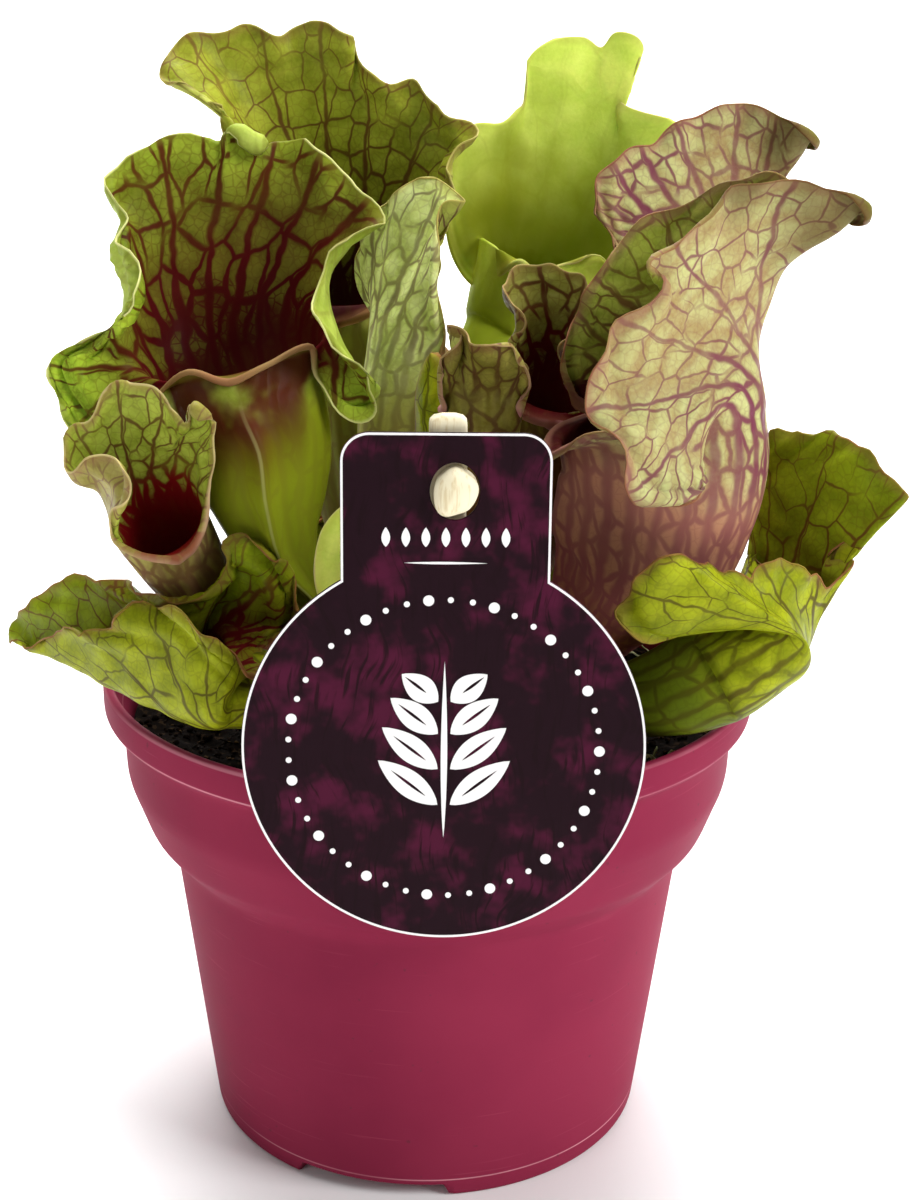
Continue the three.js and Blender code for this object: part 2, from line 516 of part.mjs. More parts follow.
// Flat leaves. spine: x, y, z, half width, and how far the sides rise to the front.
const BLADES = [
  {
    name: 'leaf_centre', skin: greenLeaf, front: 150, frontElevation: 0, tilt: 0,
    spine: [[1.5, -6.8, 60.8, 1.6, 0.3], [-1, -13, 84, 2, 0.6], [-0.5, -15, 98, 2.8, 1.4],
      [0, -15, 110.5, 2.2, 1]],
  },
  {
    name: 'leaf_left', skin: paleLeaf, front: 0, frontElevation: 0, tilt: 0,
    spine: [[-0.5, -10.5, 60.5, 1.6, 0.3], [-5, -21, 73, 2.6, 0.6], [-8.5, -29, 86, 5, 0.8],
      [-8, -31.5, 97, 3.4, 0.4]],
  },
  {
    name: 'leaf_dry', skin: dryLeaf, front: 20, frontElevation: 0, tilt: 0,
    spine: [[-6, -12, 59.6, 1.4, 0.3], [-8.5, -27, 70, 1.8, 0.5], [-12, -33, 79, 2.8, 1],
      [-12, -34, 84.5, 1.8, 0.6]],
  },
  {
    name: 'leaf_right', skin: paleLeaf, front: 0, frontElevation: 0, tilt: 0,
    spine: [[8, -9.5, 60.6, 1.5, 0.3], [14, -27, 67, 2.2, 0.5], [19, -36, 72, 3.2, 0.6],
      [20.5, -38, 76.5, 1.8, 0.3]],
  },
];

// ---------- pot, peat and rhizome ----------

// Outside of the pot, from the foot up: a plain tapered body, a waist that flares in
// two steps, an upright collar and a banded lip.
const POT_OUTSIDE = [
  [30.8, 3], [33, 21.5], [35.3, 40.2], [38.6, 44.2], [40.2, 48.6], [41.1, 51], [41.5, 55.8],
  [42.6, 58.9], [POT_RADIUS, 61.4], [POT_RADIUS, POT_HEIGHT - 0.3],
];

function potInside() {
  return POT_OUTSIDE.slice(1).map(([radius, z]) => [radius - POT_WALL, z])
    .filter(([, z]) => z < 62);
}

function makePot() {
  const floorTop = POT_FOOT_HEIGHT + POT_WALL;
  const inside = potInside().reverse();
  const profile = [
    [0, POT_FOOT_HEIGHT], [FOOT_INNER_RADIUS, POT_FOOT_HEIGHT], [FOOT_INNER_RADIUS + 0.2, 0],
    [FOOT_OUTER_RADIUS, 0], ...POT_OUTSIDE, [POT_RADIUS - 0.3, POT_HEIGHT],
    [POT_RADIUS - POT_WALL, POT_HEIGHT], ...inside,
    [POT_OUTSIDE[0][0] - POT_WALL, floorTop + 0.4], [POT_OUTSIDE[0][0] - 2, floorTop],
    [0, floorTop],
  ];
  let pot = asSolid(lathe(profile, POT_SEGMENTS));
  const reach = FOOT_OUTER_RADIUS + 4;
  const half = THREE.MathUtils.degToRad(FOOT_GAP_DEG / 2);
  for (let k = 0; k < 3; k += 1) {
    const middle = THREE.MathUtils.degToRad(FOOT_FIRST_GAP_DEG + 120 * k);
    const wedge = new THREE.Shape();
    const near = 20;
    wedge.moveTo(near * Math.cos(middle - half), near * Math.sin(middle - half));
    wedge.lineTo(reach * Math.cos(middle - half), reach * Math.sin(middle - half));
    wedge.lineTo(reach * Math.cos(middle + half), reach * Math.sin(middle + half));
    wedge.lineTo(near * Math.cos(middle + half), near * Math.sin(middle + half));
    wedge.closePath();
    const block = new THREE.ExtrudeGeometry(wedge, { depth: 1 + POT_FOOT_HEIGHT, bevelEnabled: false });
    pot = pot.subtract(asSolid(block.translate(0, 0, -1)));
  }
  for (let k = 0; k < DRAIN_HOLES; k += 1) {
    const angle = (2 * Math.PI * k) / DRAIN_HOLES;
    const hole = new THREE.CylinderGeometry(DRAIN_HOLE_RADIUS, DRAIN_HOLE_RADIUS, 4, 12)
      .rotateX(Math.PI / 2)
      .translate(DRAIN_CIRCLE_RADIUS * Math.cos(angle), DRAIN_CIRCLE_RADIUS * Math.sin(angle),
        floorTop - 1);
    pot = pot.subtract(asSolid(hole));
  }
  return pot;
}

function makeRhizome(extra) {
  return asSolid(ellipsoid(RHIZOME_CENTRE, RHIZOME_RADII.map((r) => r + extra), 20, 10));
}

function makePeat() {
  const floor = POT_FOOT_HEIGHT + POT_WALL + GAP;
  const wall = potInside().filter(([, z]) => z > floor + 1 && z < PEAT_EDGE_Z)
    .map(([radius, z]) => [radius - GAP, z]);
  const edge = wall[wall.length - 1][0];
  const profile = [
    [0, floor], [POT_OUTSIDE[0][0] - 3, floor], ...wall, [edge - 0.1, PEAT_EDGE_Z],
    [edge - 4, PEAT_EDGE_Z + 0.2], [28, PEAT_CROWN_Z], [0, PEAT_CROWN_Z],
  ];
  return asSolid(lathe(profile, POT_SEGMENTS));
}

// ---------- label card and its peg ----------

function makeCard() {
  const half = CARD_TAB_HALF_WIDTH;
  const neck = Math.asin(half / CARD_RADIUS);
  const outline = new THREE.Shape();
  outline.absarc(0, 0, CARD_RADIUS, Math.PI / 2 + neck, 2.5 * Math.PI - neck, false);
  outline.lineTo(half, CARD_TAB_TOP - CARD_CORNER);
  outline.absarc(half - CARD_CORNER, CARD_TAB_TOP - CARD_CORNER, CARD_CORNER, 0, Math.PI / 2, false);
  outline.lineTo(CARD_CORNER - half, CARD_TAB_TOP);
  outline.absarc(CARD_CORNER - half, CARD_TAB_TOP - CARD_CORNER, CARD_CORNER, Math.PI / 2,
    Math.PI, false);
  outline.closePath();
  const hole = new THREE.Path();
  hole.absellipse(CARD_HOLE[0], CARD_HOLE[1], CARD_HOLE_RADII[0], CARD_HOLE_RADII[1], 0,
    2 * Math.PI, true);
  outline.holes.push(hole);
  return new THREE.ExtrudeGeometry(outline,
    { depth: CARD_THICKNESS, bevelEnabled: false, curveSegments: 16 });
}

// Card coordinates (right, up, towards the viewer) to the part's frame.
const cardTilt = THREE.MathUtils.degToRad(90 - CARD_LEAN_DEG);
const cardPlace = new THREE.Matrix4()
  .makeTranslation(CARD_CENTRE_X, CARD_FRONT_Y + CARD_THICKNESS, CARD_CENTRE_Z)
  .multiply(new THREE.Matrix4().makeRotationX(cardTilt));

// The flat strip of the peg, larger by grow on every side.
function pegStrip(grow) {
  const half = PEG_WIDTH / 2 + grow;
  const shoulder = PEG_POINT - PEG_LENGTH;
  const outline = new THREE.Shape();
  outline.moveTo(0, -PEG_LENGTH - 2 * grow);
  outline.lineTo(half, shoulder);
  outline.lineTo(half, -0.8);
  outline.quadraticCurveTo(half, grow, 0, 0.1 + grow);
  outline.quadraticCurveTo(-half, grow, -half, -0.8);
  outline.lineTo(-half, shoulder);
  outline.closePath();
  const depth = PEG_THICKNESS + 2 * grow;
  return asSolid(new THREE.ExtrudeGeometry(outline, { depth, bevelEnabled: false, curveSegments: 4 })
    .translate(0, 0, -depth / 2)
    .rotateX(THREE.MathUtils.degToRad(90 + PEG_LEAN_DEG))
    .translate(PEG_X, PEG_TOP_Y, PEG_TOP_Z));
}

// The strip and the short round head that stands out through the card's hole.
function makePeg() {
  const hole = new THREE.Vector3(...CARD_HOLE, CARD_THICKNESS).applyMatrix4(cardPlace);
  const back = PEG_TOP_Y;
  const front = hole.y - PEG_HEAD_REACH;
  const head = new THREE.CylinderGeometry(1, 1, back - front, 16)
    .scale(PEG_HEAD_RADII[0], 1, PEG_HEAD_RADII[1])
    .translate(hole.x, (back + front) / 2, hole.z);
  return pegStrip(0).add(asSolid(head));
}

// ---------- assembly ----------

const plant = new THREE.Group();

function addPiece(name, solid, material) {
  const mesh = new THREE.Mesh(asGeometry(solid), material);
  mesh.name = name;
  plant.add(mesh);
}

const rhizome = makeRhizome(0);
const rhizomeSpace = makeRhizome(GAP);
const pegSpace = pegStrip(GAP);

addPiece('pot', makePot(), potPlastic);
addPiece('peat', makePeat().subtract(rhizomeSpace).subtract(pegSpace), peat);
addPiece('rhizome', rhizome, rhizomeBark);
PITCHERS.forEach((leaf) => {
  addPiece(leaf.name, asSolid(pitcher(leaf)).subtract(rhizomeSpace), leaf.skin);
});
BLADES.forEach((leaf) => {
  addPiece(leaf.name, asSolid(blade(leaf)).subtract(rhizomeSpace), leaf.skin);
});
addPiece('label_card', asSolid(makeCard().applyMatrix4(cardPlace)), cardPaper);
addPiece('label_peg', makePeg(), pegWood);

export default plant;
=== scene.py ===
"""Purple pitcher plant in its nursery pot, with a label card hung on a peg.

Every Blender object is in metres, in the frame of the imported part: the ground is z = 0 under the
middle of the pot, +Z is up and the label card hangs on the -Y side. Sizes written in the
dataclasses below are millimetres, and bearings are degrees, 0 towards -Y and 90 towards +X.
"""

import logging
import math
from collections.abc import Callable
from dataclasses import dataclass
from enum import Enum
from functools import partial

import bmesh
import bpy
import numpy as np
from mathutils import Matrix, Vector


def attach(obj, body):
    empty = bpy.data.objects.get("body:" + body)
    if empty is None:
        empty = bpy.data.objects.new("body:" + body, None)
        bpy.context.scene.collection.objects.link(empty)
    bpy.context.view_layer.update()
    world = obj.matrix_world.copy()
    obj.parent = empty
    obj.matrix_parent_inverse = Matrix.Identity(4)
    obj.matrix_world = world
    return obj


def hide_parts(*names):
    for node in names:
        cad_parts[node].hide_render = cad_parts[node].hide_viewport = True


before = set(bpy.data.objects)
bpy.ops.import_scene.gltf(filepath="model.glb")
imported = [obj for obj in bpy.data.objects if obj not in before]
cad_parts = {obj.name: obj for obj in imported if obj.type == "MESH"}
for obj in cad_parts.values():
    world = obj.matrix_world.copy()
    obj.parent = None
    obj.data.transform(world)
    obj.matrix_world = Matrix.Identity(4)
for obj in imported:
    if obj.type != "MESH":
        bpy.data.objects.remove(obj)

log = logging.getLogger("pitcher_plant")

MM = 0.001
Array = np.ndarray
Layers = dict[str, np.ndarray]
Colour = tuple[float, float, float, float]
Object = bpy.types.Object
Material = bpy.types.Material
Tree = bpy.types.NodeTree
Socket = bpy.types.NodeSocket

# Settings that many shader nodes share.
EASED = {"interpolation_type": "SMOOTHSTEP"}
TIMES = {"operation": "MULTIPLY"}
TIMES_PLUS = {"operation": "MULTIPLY_ADD"}
OVER = {"operation": "DIVIDE"}
LARGER = {"operation": "MAXIMUM"}
RGBA = {"data_type": "RGBA"}


# ---------------------------------------------------------------- numbers and curves


def linear(hex_colour: str) -> Colour:
    """Turns an sRGB hex colour into the linear colour that a shader takes.

    Args:
        hex_colour: Six hex digits, without a hash.

    Returns:
        Linear red, green and blue, with an alpha of 1.
    """
    srgb = np.array([int(hex_colour[i : i + 2], 16) for i in (0, 2, 4)]) / 255
    lin = np.where(srgb <= 0.04045, srgb / 12.92, ((srgb + 0.055) / 1.055) ** 2.4)
    return (*lin.tolist(), 1.0)


def smoothstep(low: float, high: float, x: Array) -> Array:
    """Eases from 0 at low to 1 at high along 3 f^2 - 2 f^3."""
    f = np.clip((x - low) / (high - low), 0.0, 1.0)
    return f * f * (3 - 2 * f)


def unit(v: Array) -> Array:
    """Scales vectors on the last axis to length 1."""
    return v / np.maximum(np.linalg.norm(v, axis=-1, keepdims=True), 1e-9)


def wrapped(angle: Array) -> Array:
    """Brings angles in radians between -pi and pi."""
    return np.arctan2(np.sin(angle), np.cos(angle))


def whole_turn(places: int) -> Array:
    """Angles in radians of places spread evenly round a ring, the first at 0."""
    return 2 * np.pi * np.arange(places) / places


def blend_four(p: tuple[Array, Array, Array, Array], f: Array) -> Array:
    """Catmull-Rom blend of four neighbours.

    Args:
        p: The rows before, at, after and two after each place.
        f: Fraction of the way between the middle two.

    Returns:
        The blended rows.
    """
    a, b, c, d = p
    cubic = (3 * b - a - 3 * c + d) * f**3
    return 0.5 * (2 * b + (c - a) * f + (2 * a - 5 * b + 4 * c - d) * f**2 + cubic)


def through_closed(points: Array, s: Array) -> Array:
    """Reads a closed list of rows as a smooth loop.

    Args:
        points: Rows to pass through, K by columns.
        s: Place on the loop, 0 to 1 once round.

    Returns:
        One row per value of s.
    """
    count = len(points)
    x = (s % 1.0) * count
    i = np.floor(x).astype(int)
    near = tuple(points[(i + k) % count] for k in (-1, 0, 1, 2))
    return blend_four(near, (x - i)[:, None])


def through_open(points: Array, t: Array) -> Array:
    """Reads an open list of rows as a smooth line, its ends mirrored to carry on straight.

    Args:
        points: Rows to pass through, K by columns.
        t: Place on the line, 0 at the first row and 1 at the last.

    Returns:
        One row per value of t.
    """
    last = len(points) - 1
    longer = np.vstack([2 * points[0] - points[1], points, 2 * points[-1] - points[-2]])
    x = np.clip(t, 0.0, 1.0) * last
    i = np.minimum(np.floor(x).astype(int), last - 1)
    return blend_four(tuple(longer[i + k] for k in range(4)), (x - i)[:, None])


def bearing(azimuth: float, elevation: float = 0.0) -> Array:
    """Unit vector at a bearing and an elevation, both in degrees."""
    a, e = math.radians(azimuth), math.radians(elevation)
    return np.array([math.sin(a) * math.cos(e), -math.cos(a) * math.cos(e), math.sin(e)])


def waves(points: Array, length: float, seed: int, count: int = 9) -> Array:
    """Sum of sine waves that run in random directions through space.

    Args:
        points: Places to read, last axis x, y, z.
        length: Mean wavelength, in the units of points.
        seed: Seed of the directions, lengths and phases.
        count: How many waves are summed.

    Returns:
        A value near -1 to 1 for each point.
    """
    rng = np.random.default_rng(seed)
    ways = unit(rng.normal(size=(count, 3))) * (
        2 * np.pi / (length * rng.uniform(0.6, 1.6, (count, 1)))
    )
    return np.sin(points @ ways.T + rng.uniform(0, 2 * np.pi, count)).sum(-1) / count**0.5 / 1.4


def softened(rows: Array, width: float) -> Array:
    """Smooths a closed list of rows with a bell-shaped weight.

    Args:
        rows: Rows round a loop, K by columns.
        width: Spread of the weight, in rows.

    Returns:
        As many rows, each the weighted mean of its neighbours.
    """
    count = len(rows)
    gap = np.arange(count)[:, None] - np.arange(count)
    gap = np.abs((gap + count // 2) % count - count // 2)
    weight = np.exp(-0.5 * (gap / width) ** 2)
    return weight @ rows / weight.sum(1, keepdims=True)


# ---------------------------------------------------------------- meshes


def grid_normals(rows: Array) -> Array:
    """Normals of a grid whose rows are closed rings, pointing out when rings run anticlockwise.

    Args:
        rows: Points, rings by places round the ring by 3.

    Returns:
        Unit normals of the same shape, eased a little over their neighbours.
    """
    across = np.roll(rows, -1, axis=1) - np.roll(rows, 1, axis=1)
    normals = unit(np.cross(across, np.gradient(rows, axis=0)))
    for _ in range(2):
        padded = np.concatenate([normals[:1], normals, normals[-1:]])
        beside = np.roll(normals, 1, axis=1) + np.roll(normals, -1, axis=1)
        normals = unit(2 * normals + beside + padded[:-2] + padded[2:])
    return normals


def ring_faces(rings: int, places: int) -> Array:
    """Quads of a grid of closed rings, facing out when rings run anticlockwise and rise.

    Args:
        rings: How many rings there are.
        places: How many points a ring has.

    Returns:
        Rows of four point numbers.
    """
    r, k = np.meshgrid(np.arange(rings - 1), np.arange(places), indexing="ij")
    n = (k + 1) % places
    low, high = r * places, (r + 1) * places
    return np.stack([low + k, low + n, high + n, high + k], -1).reshape(-1, 4)


def end_fans(rings: int, places: int) -> Array:
    """Triangles that close both ends of a grid of rings on the two points that follow the grid.

    Args:
        rings: How many rings there are.
        places: How many points a ring has.

    Returns:
        Rows of three point numbers.
    """
    k = np.arange(places)
    n = (k + 1) % places
    top, pole = (rings - 1) * places, np.full(places, rings * places)
    return np.concatenate([np.stack([n, k, pole], -1), np.stack([top + k, top + n, pole + 1], -1)])


def with_poles(values: Array) -> Array:
    """Lists a grid's values point by point, then the means of its first and last ring."""
    flat = values.reshape(-1, values.shape[-1])
    return np.vstack([flat, values[0].mean(0), values[-1].mean(0)])


def at_corners(chart: Array) -> Array:
    """Gives each face corner of a capped ring grid its value from a chart.

    Args:
        chart: Values that may jump where a ring closes, rings by places + 1 by 3.

    Returns:
        Rows in the order of the corners of ring_faces, then of end_fans.
    """
    here, there = chart[:, :-1], chart[:, 1:]
    quads = np.stack([here[:-1], there[:-1], there[1:], here[1:]], 2)
    first, last = (np.broadcast_to(chart[i].mean(0), here[i].shape) for i in (0, -1))
    ends = [np.stack(e, 1) for e in ((there[0], here[0], first), (here[-1], there[-1], last))]
    return np.vstack([quads.reshape(-1, 3), *(e.reshape(-1, 3) for e in ends)])


def add_object(name: str, data: bpy.types.ID) -> Object:
    """Links a new object at the origin to the scene.

    Args:
        name: Name of the object.
        data: The mesh, curve, lamp or camera that it holds.

    Returns:
        The new object.
    """
    obj = bpy.data.objects.new(name, data)
    bpy.context.scene.collection.objects.link(obj)
    return obj


def make_object(
    name: str, points: Array, faces: list,
    layers: Layers | None = None, charts: Layers | None = None,
) -> Object:
    """Puts millimetre points and faces into a smooth-shaded mesh object at the origin.

    Args:
        name: Name of the object and its mesh.
        points: Vertices, N by 3, in millimetres.
        faces: Lists of vertex numbers.
        layers: Vectors held by the vertices, by name, N by 3.
        charts: Vectors held by the face corners, by name, in the order of faces.

    Returns:
        The new object, linked to the scene.
    """
    mesh = bpy.data.meshes.new(name)
    mesh.from_pydata(points * MM, [], faces)
    for domain, held in (("POINT", layers), ("CORNER", charts)):
        for key, values in (held or {}).items():
            layer = mesh.attributes.new(key, "FLOAT_VECTOR", domain)
            layer.data.foreach_set("vector", values.astype(np.float32).ravel())
    mesh.polygons.foreach_set("use_smooth", np.ones(len(mesh.polygons), bool))
    mesh.update()
    return add_object(name, mesh)


def ring_object(
    name: str, rows: Array, layers: Layers | None = None, charts: Layers | None = None
) -> Object:
    """Makes a closed skin from a stack of rings, with a fan to the middle of each end ring.

    Args:
        name: Name of the object.
        rows: Rings of points, rings by places by 3, in millimetres.
        layers: Vectors on the points by name, rings by places by 3.
        charts: Vectors that may jump where each ring closes, rings by places + 1 by 3.

    Returns:
        The new object.
    """
    rings, places = rows.shape[:2]
    faces = ring_faces(rings, places).tolist() + end_fans(rings, places).tolist()
    held = {key: with_poles(values) for key, values in (layers or {}).items()}
    cornered = {key: at_corners(values) for key, values in (charts or {}).items()}
    return make_object(name, with_poles(rows), faces, held, cornered)


def many_rings(name: str, stacks: Array) -> Object:
    """Makes one object of many small closed ring stacks.

    Args:
        name: Name of the object.
        stacks: Stacks by rings by places by 3, in millimetres.

    Returns:
        The new object.
    """
    n, rings, places = stacks.shape[:3]
    ends = np.stack([stacks[:, 0].mean(1), stacks[:, -1].mean(1)], 1)
    points = np.concatenate([stacks.reshape(n, -1, 3), ends], 1)
    shift = (np.arange(n) * points.shape[1])[:, None, None]
    quads = (ring_faces(rings, places) + shift).reshape(-1, 4)
    fans = (end_fans(rings, places) + shift).reshape(-1, 3)
    return make_object(name, points.reshape(-1, 3), quads.tolist() + fans.tolist())


def solid_mesh(obj: Object) -> bpy.types.Mesh:
    """Reads an object's shape, with its modifiers and bevels, as a new mesh.

    Args:
        obj: The object, linked to the scene.

    Returns:
        The mesh.
    """
    bpy.context.view_layer.update()
    return bpy.data.meshes.new_from_object(
        obj.evaluated_get(bpy.context.evaluated_depsgraph_get())
    )


def flat_object(
    name: str, loops: list[Array], thickness: float, place: Matrix, bevel: float = 0.0
) -> Object:
    """Fills closed outlines into a flat plate, with inner outlines as holes.

    Args:
        name: Name of the object.
        loops: Outlines, each N by 2, in millimetres.
        thickness: Thickness of the plate in millimetres, centred on the outline's plane.
        place: Matrix from plate coordinates in metres to the part's frame.
        bevel: Radius of the rounded rims, in millimetres.

    Returns:
        The plate as a mesh object at the origin.
    """
    curve = bpy.data.curves.new(name, "CURVE")
    curve.dimensions = "2D"
    curve.fill_mode = "BOTH"
    curve.extrude = (thickness / 2 - bevel) * MM
    curve.bevel_depth = bevel * MM
    curve.bevel_resolution = 2
    curve.offset = -bevel * MM
    for loop in loops:
        spline = curve.splines.new("POLY")
        spline.points.add(len(loop) - 1)
        flat = np.column_stack([loop * MM, np.zeros(len(loop)), np.ones(len(loop))])
        spline.points.foreach_set("co", flat.ravel())
        spline.use_cyclic_u = True
    source = add_object(name + "_outline", curve)
    mesh = solid_mesh(source)
    bpy.data.objects.remove(source)
    bpy.data.curves.remove(curve)
    work = bmesh.new()
    work.from_mesh(mesh)
    bmesh.ops.remove_doubles(work, verts=work.verts, dist=1e-6)
    work.to_mesh(mesh)
    work.free()
    mesh.transform(place)
    mesh.name = name
    return add_object(name, mesh)


# ---------------------------------------------------------------- materials


def add_node(
    tree: Tree, kind: str, inputs: tuple | dict = (), out: int | str | None = 0, **settings: object
) -> Socket | tuple[Socket, ...]:
    """Adds a shader node with its settings and links.

    Args:
        tree: The material's node tree.
        kind: Blender's node type name, without ShaderNode.
        inputs: What the inputs take, each an output socket to link or a value: a row in the
            order in which the node shows them, or a dict by name.
        out: Name or shown number of the output that is wanted, or None for all of them.
        settings: Properties of the node, such as its mode.

    Returns:
        The wanted output socket, or all that the node shows.
    """
    node = tree.nodes.new("ShaderNode" + kind)
    for key, value in settings.items():
        setattr(node, key, value)
    shown = [socket for socket in node.inputs if socket.enabled]
    if isinstance(inputs, dict):
        shown, inputs = [node.inputs[key] for key in inputs], tuple(inputs.values())
    for socket, value in zip(shown, inputs):
        if isinstance(value, Socket):
            tree.links.new(value, socket)
        else:
            socket.default_value = value
    outputs = tuple(socket for socket in node.outputs if socket.enabled)
    if isinstance(out, str):
        return node.outputs[out]
    return outputs if out is None or not outputs else outputs[out]


def dress(obj: Object, finish: "Finish", *nodes: str) -> None:
    """Gives a piece its finish, and tells the frame its body and what it replaces.

    Args:
        obj: The piece.
        finish: What it is made of.
        nodes: CAD nodes that it stands in for.
    """
    obj.data.materials.clear()
    obj.data.materials.append(finish.material())
    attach(obj, "root")
    if nodes:
        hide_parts(*nodes)
    log.info("%s: %d faces", obj.name, len(obj.data.polygons))


# ---------------------------------------------------------------- finishes


@dataclass(frozen=True)
class Finish:
    """What a piece is made of: the name of its material and of its finish slot."""

    name: str
    slot: str

    def looks(self, add: Callable) -> dict:
        """Works out what the finish's principled shader takes; each finish has its own.

        Args:
            add: add_node, for the material's own tree.

        Returns:
            Values and sockets for the shader's inputs, by name.
        """
        raise NotImplementedError

    def material(self) -> Material:
        """Builds the material the first time that it is asked for.

        Returns:
            The finish's only material.
        """
        if self.name not in bpy.data.materials:
            made = bpy.data.materials.new(self.name)
            made.use_nodes = True
            made.node_tree.nodes.clear()
            add = partial(add_node, made.node_tree)
            add("OutputMaterial", {"Surface": add("BsdfPrincipled", self.looks(add))})
        return bpy.data.materials[self.name]


@dataclass(frozen=True)
class LeafFinish(Finish):
    """Living pitcher leaf: a waxy cuticle over veined tissue a few cells thick.

    The wax gives a soft satin gloss, light passes a little way through the tissue, and red
    pigment gathers along a net of veins that closes up in the throat. Each pair is (inner face,
    outer face), apart from the skin colours inner and outer, which are (beside a vein, middle of
    a cell), and tube, which is (near the mouth, near the foot). Lengths are millimetres. bands
    are the nets of cells: how many cells fit between two main veins, and from what to what
    gauge, in cells, that net is drawn.
    """

    inner: tuple[str, str]
    outer: tuple[str, str]
    vein: tuple[str, str]
    strength: tuple[float, float]
    tube: tuple[str, str]
    throat: str
    rim: str
    flush: str
    lip: str
    worn: str = "5a4024"
    flushed: float = 0.5
    # Strength of the painted shadow under the lip.
    lip_shadow_strength: float = 0.0
    haze: float = 0.4
    # Strength of the painted highlight along the tube's keel.
    keel_highlight: float = 0.0
    cell: float = 4.4
    main_veins: float = 15.0
    vein_width: float = 0.3
    main_width: float = 0.45
    roughness: float = 0.42
    glow: float = 0.1
    bands: tuple = ((0.5, 0.0, 0.5), (1.0, 0.5, 1.05), (2.0, 1.05, 2.1), (4.0, 2.1, 99.0))

    def looks(self, add: Callable) -> dict:
        """A leaf is complex enough to have a class of its own for its shader."""
        return LeafShader(self, add).looks()


